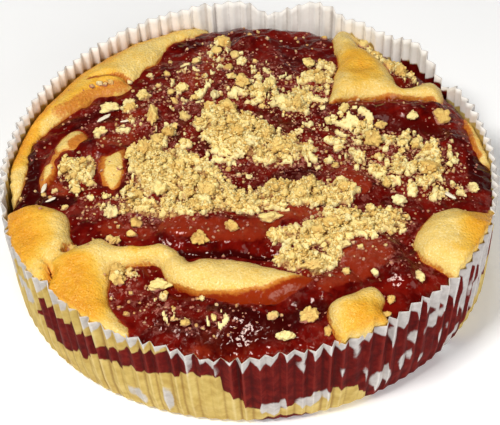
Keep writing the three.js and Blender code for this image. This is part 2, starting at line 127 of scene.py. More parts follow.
# ---- Sponge lobes: rise above the filling, width of the rounded edge, outline ----
LOBES = {
    "crescent": (4, 9, [
        (-71.5, -8), (-70.5, -1), (-69.5, 6), (-69, 12), (-67.5, 16.5), (-64.5, 20.5), (-60, 25),
        (-54, 30), (-50, 34), (-44, 36), (-38, 38.5), (-36, 40), (-38, 42), (-36, 45), (-33, 49),
        (-30, 52), (-28, 56), (-26, 60), (-22, 64), (-18, 66), (-12, 69), (-8, 71), (-4, 73), (-8, 79),
        (-22, 80), (-42, 73), (-62, 59), (-76, 40), (-83, 20), (-84, 0), (-83, -14), (-76, -16),
    ]),
    "curl": (1.9, 5.5, [
        (-67, -9), (-67.5, -4.5), (-66.5, 1.5), (-65, 8), (-63, 13), (-60.5, 17), (-57, 20), (-53.5, 18.5),
        (-51.5, 14.5), (-52, 10.5), (-55, 8.5), (-57, 6.5), (-58.5, 4.5), (-59.5, 1.5), (-60.5, -2),
        (-62.5, -6.5), (-65, -10.5),
    ]),
    "curl_inner": (0.6, 2, [
        (-52.5, 14), (-50.5, 15.5), (-49, 10.5), (-48.5, 6.5), (-50.5, 6.5), (-52, 9.5),
    ]),
    "inner_left": (1.5, 6, [
        (-49, 5), (-46.5, 8.5), (-42.5, 11), (-39, 9.5), (-38, 2.5), (-38.5, -5), (-39.5, -10),
        (-42.5, -13), (-44.5, -14.5), (-46.5, -11), (-48.5, -5), (-49.5, 0),
    ]),
    "front_left": (5.4, 9, [
        (-75, -20), (-71, -18), (-66, -17), (-62, -17.5), (-58, -19.5), (-55.5, -23), (-54.5, -28),
        (-54, -33), (-52.5, -36), (-50, -35), (-47, -33), (-44, -33), (-41, -36), (-37, -36.5), (-31, -37),
        (-28, -36), (-24, -38), (-20.5, -42), (-21.5, -47), (-26, -48), (-30, -45.5), (-33, -45.5),
        (-38, -46.5), (-41, -47.5), (-42, -54), (-42, -60), (-39, -66), (-34.5, -71), (-36, -80),
        (-50, -78), (-64, -68), (-76, -52), (-84, -38), (-83, -24),
    ]),
    "front_long": (5, 8, [
        (-27, -44), (-24, -42), (-20, -42), (-18, -44.5), (-15, -43), (-10, -44), (-5, -45), (0, -46.5),
        (8, -50), (14, -52), (18, -54.5), (13, -60), (5, -63.5), (-3, -64), (-10, -62), (-20, -57),
        (-25, -53), (-28, -48),
    ]),
    "front_right": (6, 7.5, [
        (20, -71), (20, -68), (21, -65), (25, -62.5), (29, -61), (30, -60), (33, -58.5), (36, -60),
        (37.5, -63), (37.5, -66), (36, -68.5), (36.5, -71), (36.5, -75), (33, -79), (27, -80), (22, -77),
    ]),
    "right_front": (6, 9.5, [
        (49, -37), (51, -34), (54, -31), (58, -28.5), (63, -27.5), (66, -29), (70, -29.5), (74, -27),
        (81, -30), (80, -42), (74, -52), (65, -60), (58, -58), (54, -54), (50, -50), (48, -45), (48, -40),
    ]),
    "right_edge": (2.2, 4, [
        (68.5, 27), (70, 21), (71, 14), (71.5, 6), (72, -1), (74.5, -10), (84, -10), (86, 10), (81, 26),
        (74, 34),
    ]),
    "back_right": (4.6, 6, [
        (33, 64), (36, 68), (40, 71), (43, 65), (45, 60.5), (47.5, 56), (48.5, 52.5), (45.5, 53.5),
        (42.5, 56), (40.5, 57.5), (42, 53.5), (45, 50), (48, 46.5), (49.5, 43), (51, 37.5), (52, 33),
        (53.5, 31), (57.5, 32), (61.5, 33), (64.5, 30.5), (66.5, 26.5), (66.5, 23.5), (64.5, 21.5),
        (61, 23.5), (57, 25), (53, 25.5), (50.5, 25), (47, 25), (43.5, 26.5), (40.5, 27), (37, 27),
        (34, 25.5), (30.5, 22), (28, 22), (27.5, 24.5), (28.5, 29), (29.5, 34.5), (30.5, 40), (32, 45.5),
        (31.8, 51), (31.5, 55.5), (31.5, 60.5),
    ]),
}

# Seams in the sponge, mounds and hollows: height or depth, and a spine.
SEAMS = [
    (0.9, [(-52, 43, 0.6), (-48, 44.4, 1.2), (-43, 43.5, 1.2), (-39, 42, 1)]),
    (5.5, [(-60.5, -45, 0.6), (-59, -50, 0.8), (-58, -57, 0.8)]),
    (1.7, [(-60.5, -44, 1.6), (-56, -40, 2.4), (-52.5, -36, 1.8)]),
]
MOUNDS = [
    (2.6, [(-20, -30, 8.5), (-3, -33, 8)]),
    (2.3, [(32, -45, 8), (38, -43, 6.5)]),
    (2, [(13, -28, 6), (25, -28, 4.5)]),
    (2, [(-49, 10, 6), (-46, 8, 5)]),
    (2.2, [(2, 62, 5), (7, 61, 4)]),
    (2, [(-14, 44, 9), (-6, 38, 8)]),
    (2, [(14, -60, 5), (26, -56, 5)]),
    (2.2, [(42, -52, 5.5), (44, -55, 4.5)]),
    (1.6, [(32, -10, 6), (36, -16, 5)]),
    (1.4, [(-36, 20, 7), (-28, 32, 8)]),
    (1.3, [(55, 12, 8), (62, 4, 6)]),
    (1.5, [(-10, -70, 7), (4, -70, 6)]),
    (3, [(30, 20.5, 5), (44, 21, 5.5), (62, 19, 5)]),
    (1.6, [(-62, 2, 4), (-58, 12, 4)]),
]
HOLLOWS = [
    (6.5, [(10, 76, 13), (24, 76, 15)]),
    (2.5, [(-2, 76, 9), (-8, 76, 7)]),
    (2, [(-72, -14, 9), (-70, -12, 7)]),
    (1.6, [(-20, -40.5, 2.2), (-6, -41, 2.4), (8, -43.5, 2)]),
    (1.6, [(34, 12, 7), (60, 8, 6)]),
    (0.7, [(44, -34, 3), (46, -44, 3)]),
]

# ---- Where the crumbs lie: how dense, how high, and a spine ----
HEAPS = [
    (0.9, 3.2, [(-9, 20, 7), (-3, 13, 10.5), (7, 6, 8.5), (17, 3, 5)]),
    (0.9, 3, [(-33, 4, 7.5), (-27, -5, 12), (-16, -12, 10), (-8, -19, 5)]),
    (0.95, 2.4, [
        (-38, -20, 3), (-23, -24, 3.5), (-7, -22, 4.5), (7, -19, 6), (20, -18.5, 6.5), (29, -19, 5),
    ]),
    (0.92, 2.8, [(8, -36, 2.5), (16, -37, 4.5), (25, -35.5, 7), (35, -33, 6), (44, -31, 4)]),
    (0.85, 2, [(10, -46.5, 3.5), (17, -48.5, 5), (24, -46, 3)]),
    (0.52, 2, [(3, 33, 4.5), (10, 29, 7), (17, 23, 5)]),
    (0.62, 2, [(20, 29, 4.5), (25, 36, 6), (27, 45, 4.5)]),
    (0.9, 1.8, [(-58, 1, 4), (-54, -4, 5), (-51, 1, 4)]),
    (0.5, 1.2, [(36, -3, 5), (46, -10, 7), (56, -18, 6.5), (64, -20, 3)]),
    (0.34, 0.8, [(50, 4, 7), (61, -6, 7)]),
    (0.6, 1, [(43.5, 54, 1.6), (48, 48, 2.2), (53.5, 39.5, 3.4), (57, 36, 2.4)]),
    (0.2, 0.6, [(-24, 33, 6), (-12, 38, 6), (-4, 30, 5)]),
    (0.25, 0.5, [(-26, 15, 5), (-34, 10, 5), (-40, -18, 4)]),
    (0.5, 0.8, [(-40, -50, 2.2), (-36, -48, 2.2)]),
    (0.3, 0.6, [(28, 8, 7), (36, 14, 6)]),
    (0.14, 0.4, [(-12, 58, 8), (-2, 52, 7)]),
    (0.13, 0.3, [(-34, 26, 10), (-16, 44, 11), (6, 42, 10), (24, 30, 10)]),
    (0.22, 0.3, [(16, 6, 11), (40, 2, 14), (58, -4, 9)]),
    (0.2, 0.3, [(-44, -12, 10), (-36, 14, 10), (-10, -4, 12)]),
    (0.1, 0.2, [(-28, -64, 7), (-8, -68, 5)]),
]
STRAY_DENSITY = 0.02  # of crumbs away from the heaps
SINGLE_SIZE = 0.84  # of the crumbs below, as a share of their seen size
HIGHEST = 47.8  # above the base, for the crumbs on top of the heaps
CRUMB_STANDS = 0.42  # height of a crumb's middle over what it lies on, in radii
FLECK_STANDS = 0.15
FLECK_SIZE = 0.5  # radius up to which a crumb lies as a fleck
FLATS = 6  # broken faces that may cut into a crumb
LUMP_SIZE = 1.8  # radius from which a single crumb is a lump
DEEPEST_PILE = 2.4  # of loose crumbs over what lies there
CRUMBS_END = 0.955  # share of the cake's radius that they reach

# Crumbs that stand out on their own: x, y, width, depth.
SINGLE_CRUMBS = [
    (-52, 42, 2.4, 1.8), (-49.6, 43, 2.8, 2.4), (-47.6, 42.6, 1.9, 2), (-45.6, 43.8, 2.2, 1.6),
    (-39, 44, 2, 2), (-45.5, 29, 6, 4), (-48, 16, 4, 5), (-38.5, 28, 5, 4), (-34, 34.5, 5, 5),
    (-32, 45.5, 3, 3), (-26, 46, 3.5, 3), (-21, 38.5, 5, 4), (-25, 36, 3, 3), (-23.5, 31, 3.5, 3),
    (-16, 52.5, 4, 3), (-6, 62, 5, 7), (-9, 58, 4, 4), (-2.5, 55, 4, 4), (-5, 47.5, 4, 3),
    (-4, 43, 4.5, 3), (0, 39, 5, 6), (-10, 34, 3.5, 4), (-12, 26.5, 4.5, 4), (-5, 25, 6, 6),
    (-20, 23, 4, 4), (-31, 24, 5.5, 8), (-25.5, 16, 4, 4), (-29, 11.5, 4, 5), (-33, 7, 6, 6),
    (33, 23, 4, 4.5), (27, 17, 3, 4), (38, 12.5, 3, 4), (44, 13, 4, 4), (41, 6, 6, 7), (55, 17, 4, 4),
    (64, 15, 6, 5), (23, 48, 4, 5), (27, 47, 3, 5), (5.5, 36, 2.5, 4), (9, 38, 4, 5), (18, 27, 4, 5),
    (-64.5, -12, 2.5, 3), (-57.5, -18.5, 2.5, 2.5), (-54.5, -11, 4.5, 4), (-50, -8, 3, 3),
    (-43, -22, 5, 5), (-35, -27, 4, 4.5), (-43, -33, 3.5, 3), (-36.5, -32, 4, 3), (-16, -35.5, 6.2, 5.2),
    (-6, -31, 5, 4.5), (-40, -50, 5, 5), (-28, -54, 6, 4.5), (-26.5, -59, 3, 3.5), (-37, -64.5, 2.5, 2.5),
    (-20, -69, 4, 3), (-12, -67.5, 1.8, 3), (6, -28.5, 8, 4), (15, -44, 3, 3), (18, -49, 7, 5),
    (27, -41.5, 4, 3.5), (27, -52, 3, 3), (35.5, -53.5, 3, 3.5), (48, -56, 3, 4.5), (39, -64, 3, 3.5),
    (5, -68, 3.5, 2.5), (15, -69, 6, 5), (8, -76, 6, 4), (20, -75, 3, 3.5), (37, -70, 3, 2.5),
    (43, -15, 3.5, 4.5), (57, -10, 6, 5), (46, -24, 5, 4.5), (54, 40, 5, 5), (50, 44, 4, 4),
    (46, 51, 3.5, 3.5), (42.5, 56.5, 4.5, 4), (-22, -3, 5, 5), (-28, -12, 5, 5), (-18, -9, 5.5, 5),
    (2, 8, 5, 5), (10, 6, 5, 4.5), (-3, 14, 5.5, 5), (16, -18, 5, 4.5), (24, -33, 6, 5), (32, -34, 5, 5),
    (20, -36, 4.5, 4), (-36, -15, 5, 4.5), (12, 27, 5, 4.5), (26, 38, 4.5, 5),
]
# Pale slivers: x, y, length, turn.
SLIVERS = [
    (-47, 23, 5.5, 40), (61.5, -23, 5, -50), (-64.5, -10, 5, 75), (-62, -15.5, 3.5, 30), (-40, 21, 3, 10),
]

# Crumb kinds: how many, largest and smallest radius, icosphere subdivisions, depth of their roughness.
CRUMB_KINDS = {
    "crumb_lumps": (22, 2.1, 1.6, 3, 0.34),
    "crumb_grains": (240, 1.3, 0.65, 2, 0.34),
    "crumb_bits": (2300, 0.66, 0.4, 1, 0.34),
    "crumb_flecks": (9200, 0.5, 0.28, 0, 0.3),
    "crumb_dust": (700, 0.3, 0.2, 0, 0.25),
}
# Height in radii, least stretch and least soaking, of crumbs and of those with no subdivisions.
CRUMB_FORM = (0.85, 0.78, 0.35)
FLAKE_FORM = (0.45, 0.45, 0.8)
# How densely each kind lies on the heaps' closed part, as a share of its density beside it.
ON_BED = {"crumb_lumps": 1.0, "crumb_grains": 0.8, "crumb_bits": 0.8, "crumb_flecks": 0.7, "crumb_dust": 0.2}

# ---- Colour patches: how strong, and a spine ----
# Where the sponge baked brown.
BROWNED = [
    (1, [(-75, 2, 6), (-73, 16, 7), (-67, 30, 8), (-58, 43, 9), (-45, 55, 9), (-32, 64, 8), (-18, 70, 6)]),
    (0.6, [(-56, 34, 6), (-46, 41, 6)]),
    (0.9, [(-72, -28, 9), (-68, -38, 9)]),
    (0.6, [(-66, -24, 7)]),
    (0.85, [(-54, -50, 8), (-52, -60, 9), (-48, -66, 7)]),
    (0.75, [(29, -75, 7), (34, -72, 5)]),
    (0.8, [(71, -38, 8), (68, -48, 8)]),
    (0.25, [(74, 20, 4), (76, 0, 4)]),
    (0.6, [(38, 44, 8), (40, 36, 6)]),
    (0.6, [(44, 64, 4)]),
    (0.5, [(-34, -40, 4)]),
]
# Where filling soaked into it.
STAINED = [
    (1.2, [
        (-24, -55, 1.6), (-18, -59.5, 2.4), (-8, -63, 3), (3, -63, 3.6), (11, -59.5, 3.8), (17, -55, 3.4),
    ]),
    (0.85, [
        (-49.5, 4, 3.4), (-46.5, 8.5, 3), (-41.5, 9, 2.8), (-38.6, 5, 2.4), (-38.4, -5, 2.2),
        (-41, -11.5, 2.4),
    ]),
    (0.9, [(-49, 3, 3.4), (-48.5, -5, 3), (-45.5, -12, 2.8)]),
    (0.7, [(-57, 11, 2.6), (-53, 15, 3.4), (-50, 12, 3)]),
    (1, [(-60, 3, 2.4), (-61.5, -5, 2.4), (-64.5, -9, 2.2)]),
    (0.7, [(-66.5, -6, 1.8), (-66.5, 3, 1.8), (-63.5, 12, 2), (-59, 19, 2.4)]),
    (1, [(31, 23.5, 2), (38, 26, 2.2), (46, 25, 2.2), (54, 25, 1.9), (62, 23, 1.8)]),
    (0.8, [(69, 27, 1.6), (70.5, 18, 1.6), (72, 6, 1.6), (73, -4, 1.4)]),
    (0.7, [(50, -36, 1.6), (55, -29.5, 1.6), (62, -27.5, 1.4), (70, -29, 1.4)]),
    (0.6, [(-62, -18, 1.6), (-57, -20, 2)]),
    (0.7, [(48, 44, 1.2), (51, 38, 1.6), (53, 32, 1.6)]),
    (0.9, [(-53, 41.5, 0.7), (-48, 43.2, 0.9), (-43, 44, 0.9), (-38, 42.5, 0.8)]),
    (0.5, [(-62, 27, 3), (-54, 33, 3.5), (-47, 38, 3.5), (-41, 40, 3)]),
]
# Thin filling, through which the sponge shows orange.
FILMS = [
    (0.75, [(-25, -29, 4.5), (-14, -33, 5), (-1, -34, 4.5), (6, -31, 4)]),
    (0.9, [(9, -27, 3.5), (17, -27.5, 3.2), (24, -28.5, 2.6)]),
    (0.8, [(29, -46, 6), (36, -45, 6.5)]),
    (0.7, [(31, -10, 4), (35, -16, 4)]),
    (0.9, [(-62, -7, 2.5), (-59, -11, 2.5)]),
    (0.8, [(-46, 12, 3.6), (-43, 11, 2.6)]),
    (0.5, [(-40, 14, 5), (-38, 22, 4)]),
    (0.55, [(-17, 40, 6), (-8, 48, 5), (-14, 58, 5)]),
    (0.5, [(5, 64, 3), (8, 62, 3)]),
    (0.75, [(20, -58, 3), (28, -55, 3), (33, -52, 2.5)]),
    (0.5, [(34, 23, 2), (44, 23.5, 2.2), (56, 23, 2), (64, 21, 1.6)]),
    (0.55, [(-44, -28, 4), (-33, -31, 3.5)]),
    (0.4, [(-33, 4, 4)]),
]
# Where fine crumbs lie soaked in the filling.
SPRINKLED = [
    (1, [(-38, -54, 4), (-32, -60, 6), (-24, -68, 6), (-10, -70, 4)]),
    (0.8, [(-30, 22, 8), (-14, 40, 12), (8, 46, 10), (24, 30, 8)]),
    (0.8, [(14, -2, 10), (36, 0, 12), (56, -4, 12)]),
    (0.7, [(-50, -18, 5), (-38, -24, 5)]),
    (0.7, [(36, -34, 5), (42, -50, 4)]),
    (0.7, [(26, -43, 5), (36, -46, 6)]),
]
# Deep pools, nearly black.
POOLS = [
    (1, [(-73, 14, 3), (-69, 2, 3), (-70, -8, 4.5), (-66, -14, 3.5), (-56, -15, 3)]),
    (1, [(-22, -40.5, 1.6), (-8, -41.5, 1.8), (8, -44, 1.6)]),
    (0.5, [(8, 62, 3), (20, 58, 7), (30, 60, 4)]),
    (0.6, [(36, 17, 4), (48, 14, 5), (60, 10, 5), (69, 4, 4)]),
    (1, [(72, -6, 3), (72, -16, 4)]),
    (0.8, [(-26, -68, 4), (-10, -74, 5), (8, -72, 5), (18, -66, 4)]),
    (1, [(-13, -64, 2), (-5, -67, 3.5), (3, -71, 3.5), (8, -73, 3)]),
    (0.4, [(43, -36, 3), (44, -46, 4), (46, -56, 4)]),
    (0.8, [(10, -8, 4), (20, -8, 4)]),
    (0.7, [(-32, 36, 3), (-42, 30, 3), (-60, 22, 2)]),
    (0.6, [(14, 44, 5), (18, 50, 4)]),
]

# ---- Stains on the case: direction, height of the lower and of the upper edge ----
MARGIN = 4.0  # the greatest distance to a stain's edge that the paper's points carry
OFF_THE_STAIN = -9.0
SPLASH_AT = 36  # direction of the one stain on the inside
SPLASH_HALF = 9
# The front and left, the right back, the back and the left back, where each pleat has its own height.
STAIN_BANDS = [
    [
        (-147, 22, 22), (-143, 14, 30), (-139, 14, 31), (-136, 15, 29), (-130, 18, 29), (-124, 21, 29),
        (-120, 22, 31), (-114, 23, 33), (-106, 25, 36), (-99, 26, 50), (-97, 19, 50), (-94, 14, 50),
        (-91, 9, 50), (-86, 9, 50), (-80, 12, 50), (-76, 13, 50), (-70, 13, 50), (-66, 8, 50),
        (-62, 0, 50), (-50, -4, 50), (-40, -4, 50), (-33, 4, 46), (-28, 12, 34), (-20, 18, 30),
        (-8, 20, 30), (2, 24, 28), (8, 26, 26),
    ],
    [(18, 28, 28), (24, 22, 36), (32, 17, 50), (44, 20, 50), (54, 26, 44), (63, 33, 33)],
    [(68, 32, 32), (74, 24, 42), (83, 16, 50), (95, 14, 50), (104, 19, 46), (112, 26, 38), (120, 32, 32)],
    [(160, 20, 20), (166, 15, 25), (175, 12, 22), (179, 16, 16)],
]
FOOT_STAIN = [(-93, -1, -1), (-90, -4, 3), (-84, -4, 5), (-79, -4, 3), (-75, -2, -2)]
# The dry tips below the rim: direction, length, and how much that differs from pleat to pleat.
TIPS = [
    (-175, 16, 3), (-160, 11, 4), (-150, 5, 4), (-140, 4, 4), (-128, 2.5, 3), (-112, 2, 2.6),
    (-98, 2.2, 2.4), (-90, 2.2, 2.4), (-76, 2.6, 2.6), (-66, 2.5, 2.6), (-55, 5, 4), (-42, 7, 5),
    (-28, 9, 6), (0, 8, 5), (90, 6, 4),
]
# Places where the paper doesn't touch the cake: direction, height, half width in degrees, half height.
DRY_PATCHES = [
    (-87, 9, 3.2, 4), (-78, 11, 4.5, 3.5), (-62, 11, 3, 5), (-56, 15, 1.8, 3.5), (-54, 24, 1.6, 3),
    (-48, 25, 2.6, 4), (-81, 30, 1.2, 3), (-72, 24, 0.8, 2), (-69, 30, 1, 4), (-60, 30, 1.6, 4),
    (-39, 5, 3, 4), (-36, 22, 3, 8), (-30, 14, 3, 7), (-26, 26, 4, 8), (-98, 31, 0.8, 3),
    (-104, 31, 0.7, 5), (-110, 12, 1.5, 6), (-118, 8, 2, 5), (-66, 18, 0.8, 3), (-50, 12, 1.2, 2),
    (-44, 14, 1.5, 3), (-166, 30, 9, 10), (-152, 24, 4, 5), (-12, 28, 5, 7), (10, 20, 5, 6),
    (60, 12, 5, 6), (130, 25, 7, 6),
]

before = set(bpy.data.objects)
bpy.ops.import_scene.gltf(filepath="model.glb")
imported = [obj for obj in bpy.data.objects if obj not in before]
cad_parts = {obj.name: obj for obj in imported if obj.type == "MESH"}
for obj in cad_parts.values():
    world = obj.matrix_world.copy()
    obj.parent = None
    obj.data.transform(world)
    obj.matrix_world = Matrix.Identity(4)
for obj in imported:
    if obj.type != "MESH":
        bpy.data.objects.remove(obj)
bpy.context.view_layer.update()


# ---- Small tools ----
def rgb(*seen):
    """A colour given as it looks on screen, as linear light."""
    seen = np.array(seen) / 255
    light = np.where(seen <= 0.04045, seen / 12.92, ((seen + 0.055) / 1.055) ** 2.4)
    return (*light.tolist(), 1.0)


def smooth(t):
    t = np.clip(t, 0, 1)
    return t * t * (3 - 2 * t)


def mix(a, b, t):
    return a + (b - a) * t


def noise(x, y, size, seed, octaves=3, z=None):
    """Smooth noise from about -1 to 1, with features of the given size."""
    total = 0
    for n in range(octaves):
        scale = 2.0**n / size
        offset = 37.7 * n
        places = [x * scale + offset, y * scale - offset]
        if z is not None:
            places.append(z * scale)
        total = total + lattice(places, seed + n) / 2**n
    return total / 1.4


def lattice(places, seed):
    """Random values at whole numbers, in two or three dimensions, and eased in between."""
    size = 128 if len(places) == 2 else 32
    table = np.random.default_rng(seed).uniform(-1, 1, (size,) * len(places))
    cells = [np.floor(p).astype(int) for p in places]
    shares = [smooth(p - c) for p, c in zip(places, cells)]
    total = 0
    for corner in itertools.product((0, 1), repeat=len(places)):
        weight = 1
        for step, share in zip(corner, shares):
            weight = weight * (share if step else 1 - share)
        total = total + weight * table[tuple((c + step) % size for c, step in zip(cells, corner))]
    return total


# ---- The case's outline ----
def rim_radius(a):
    return RIM_RADIUS - np.cos(2 * a) - np.sin(3 * a)


def base_radius(a):
    return BASE_RADIUS + 2.3 * np.cos(2 * a) + 0.2 * np.cos(4 * a)


def turn_from(a, degrees):
    """How far direction a is from one in degrees, in degrees."""
    b = math.radians(degrees)
    return np.degrees(np.abs(np.arctan2(np.sin(a - b), np.cos(a - b))))


def rim_height(a):
    waves = sum(rise * smooth(1 - turn_from(a, at) / half) for at, half, rise in RIM_WAVES)
    return RIM_HEIGHT - RIM_RISE_LEFT * np.cos(a) + RIM_RISE_BACK * np.sin(a) + waves


def wall_radius(a, z):
    """Radius of the middle of the wall at height z."""
    bulge = mix(base_radius(a), rim_radius(a), BULGE_SHARE)
    below = mix(base_radius(a), bulge, z / BULGE_HEIGHT)
    above = mix(bulge, rim_radius(a), (z - BULGE_HEIGHT) / (rim_height(a) - BULGE_HEIGHT))
    return np.where(z < BULGE_HEIGHT, below, above)


def pleat_depth(a, z):
    return mix(PLEAT_DEPTH_FOOT, PLEAT_DEPTH, np.clip(z / rim_height(a), 0, 1))


def side_radius(a, z):
    return wall_radius(a, z) - pleat_depth(a, z) * FOLD_REACH - PAPER / 2 - GAP


def fold(i):
    """Direction of a fold, how far it stands in or out, and the rim's ragged lift there."""
    angle = TAU / FOLDS * (i + 0.28 * np.sin(1.7 * i) * np.sin(0.31 * i))
    side = np.where(i % 2 == 1, -1, 1) * (0.8 + 0.3 * np.sin(0.73 * i + 1) * np.sin(0.17 * i))
    lift = 0.5 * np.sin(1.1 * i) * np.sin(0.23 * i + 2) + 0.35 * np.sin(0.13 * i)
    return angle, side, lift


def fluted_radius(a, z):
    """Radius of the cake's upper edge, which fills the pleats at the front and stays off them at the back."""
    angle, side, _ = fold(np.arange(-2, FOLDS + 2))
    pleat = np.interp(np.mod(a, TAU), angle, side)
    filled = pleat * pleat_depth(a, z) / 2 - PAPER_GAP
    plain = -REACH_BACK * pleat_depth(a, z) - PAPER_GAP_BACK
    return wall_radius(a, z) - THIN_PAPER / 2 + mix(filled, plain, smooth((np.sin(a) + 0.25) / 0.4))


def around(angle, r, *z):
    """Points or flat coordinates at directions and radii."""
    return np.stack([r * np.cos(angle), r * np.sin(angle), *z], -1)


def middle_of_rim():
    """The middle of the case's box, which the CAD model has at its origin."""
    angle, side, lift = fold(np.arange(FOLDS))
    height = rim_height(angle) + lift
    rim = around(angle, wall_radius(angle, height) + (side * pleat_depth(angle, height) + PAPER) / 2)
    return (*((rim.max(0) + rim.min(0)) / 2), 0)


MIDDLE = middle_of_rim()

# ---- Maps over the cake's top ----
AXIS = np.arange(-SPAN, SPAN + STEP / 2, STEP)
MAP_X, MAP_Y = np.meshgrid(AXIS, AXIS, indexing="ij")
MAP_A = np.arctan2(MAP_Y, MAP_X)


def grain(size, seed, octaves=3):
    """Noise on the whole map."""
    return noise(MAP_X, MAP_Y, size, seed, octaves)


def puffs(size, seed):
    """Rounded clumps with narrow creases between them, from 0 to 1, on the whole map."""
    return np.clip(2.1 * np.abs(grain(size, seed, 2)), 0, 1) ** 0.7


def sample(field, x, y):
    """The value of a map at points."""
    u, v = (np.clip((c + SPAN) / STEP, 0, len(AXIS) - 1.001) for c in (x, y))
    i = u.astype(int)
    j = v.astype(int)
    low = mix(field[i, j], field[i + 1, j], u - i)
    high = mix(field[i, j + 1], field[i + 1, j + 1], u - i)
    return mix(low, high, v - j)


def blur(field, radius):
    wave = np.fft.fftfreq(len(AXIS), STEP)
    half = np.fft.rfftfreq(len(AXIS), STEP)
    fade = np.exp(-2 * (math.pi * radius) ** 2 * (wave[:, None] ** 2 + half[None, :] ** 2))
    return np.fft.irfft2(np.fft.rfft2(field) * fade, s=field.shape)


def dome(k, a):
    s = np.clip((k - SHOULDER_START) / (1 - SHOULDER_START), 0, 1)
    drop = SHOULDER_DROP + SHOULDER_DROP_BACK * np.sin(a)
    return CROWN - CROWN_FALL * k * k - drop * (1 - np.sqrt(1 - 0.96 * s * s))


def edge_radius(a):
    return side_radius(a, dome(1.0, a))


MAP_K = np.minimum(np.hypot(MAP_X, MAP_Y) / edge_radius(MAP_A), 1.0)
DOME = dome(MAP_K, MAP_A)

ELEVATION = math.radians(CAMERA_ELEVATION)
EYE = Vector((0, -math.cos(ELEVATION), math.sin(ELEVATION))) * CAMERA_DISTANCE + Vector((0, 0, CAMERA_TARGET))


def onto(surface, seen):
    """Points seen at (x, y, ...) on the seen plane, moved along the line of sight onto a surface map."""
    x, y = np.array([place[:2] for place in seen], float).T
    z = np.full_like(x, SEEN_HEIGHT)
    for _ in range(8):
        share = (z - EYE.z) / (SEEN_HEIGHT - EYE.z)
        px = EYE.x + (x - EYE.x) * share
        py = EYE.y + (y - EYE.y) * share
        z = mix(z, sample(surface, px, py), 0.7)
    return np.stack([px, py], 1)


def from_line(x, y, start, end):
    """The share of a line at which it is nearest to each point, and how far it is from there."""
    dx, dy = end - start
    x = x - start[0]
    y = y - start[1]
    t = np.clip((x * dx + y * dy) / (dx * dx + dy * dy + 1e-12), 0, 1)
    return t, np.hypot(x - t * dx, y - t * dy)


def across(spine, x, y):
    """Distance from a spine seen on the top, as a share of the half width there."""
    places = onto(DOME, spine)
    last = len(spine) - 1
    least = np.inf
    for n in range(max(last, 1)):
        after = min(n + 1, last)
        t, away = from_line(x, y, places[n], places[after])
        least = np.minimum(least, away / mix(spine[n][2], spine[after][2], t))
    return least


def soft_patch(rho):
    return smooth(1.35 - rho)


def mound_profile(rho):
    return np.sqrt(np.clip(1 - rho * rho, 0, 1))


def heap_profile(rho):
    return smooth(1.6 * (1.05 - rho))


def crumb_profile(rho):
    return smooth(1.25 * (1.35 - rho))


def rounded(points, steps=4):
    """A closed smooth curve through the points."""
    before, beyond = (np.roll(points, n, 0) for n in (1, -2))
    after = np.roll(points, -1, 0)
    made = []
    for t in np.arange(steps) / steps:
        square = (2 * before - 5 * points + 4 * after - beyond) * t**2
        cube = (3 * points - before - 3 * after + beyond) * t**3
        made.append(0.5 * (2 * points + (after - before) * t + square + cube))
    return np.stack(made, 1).reshape(-1, 2)


def depth_inside(outline, x, y):
    """How far points are inside a closed curve, and less than 0 outside."""
    inside = np.zeros(x.shape, bool)
    least = np.inf
    for start, end in zip(outline, np.roll(outline, -1, 0)):
        least = np.minimum(least, from_line(x, y, start, end)[1])
        dx, dy = end - start
        if dy:
            inside ^= ((start[1] > y) != (end[1] > y)) & (x < dx * (y - start[1]) / dy + start[0])
    return np.where(inside, least, -least)


def lobe_map(outline, x, y):
    """depth_inside on the whole map, worked out only near the outline."""
    curve = rounded(onto(DOME, outline))
    low = curve.min(0) - OUTLINE_MARGIN
    high = curve.max(0) + OUTLINE_MARGIN
    near = (x > low[0]) & (x < high[0]) & (y > low[1]) & (y < high[1])
    depth = np.full(x.shape, FAR_OUT)
    depth[near] = depth_inside(curve, x[near], y[near])
    return depth


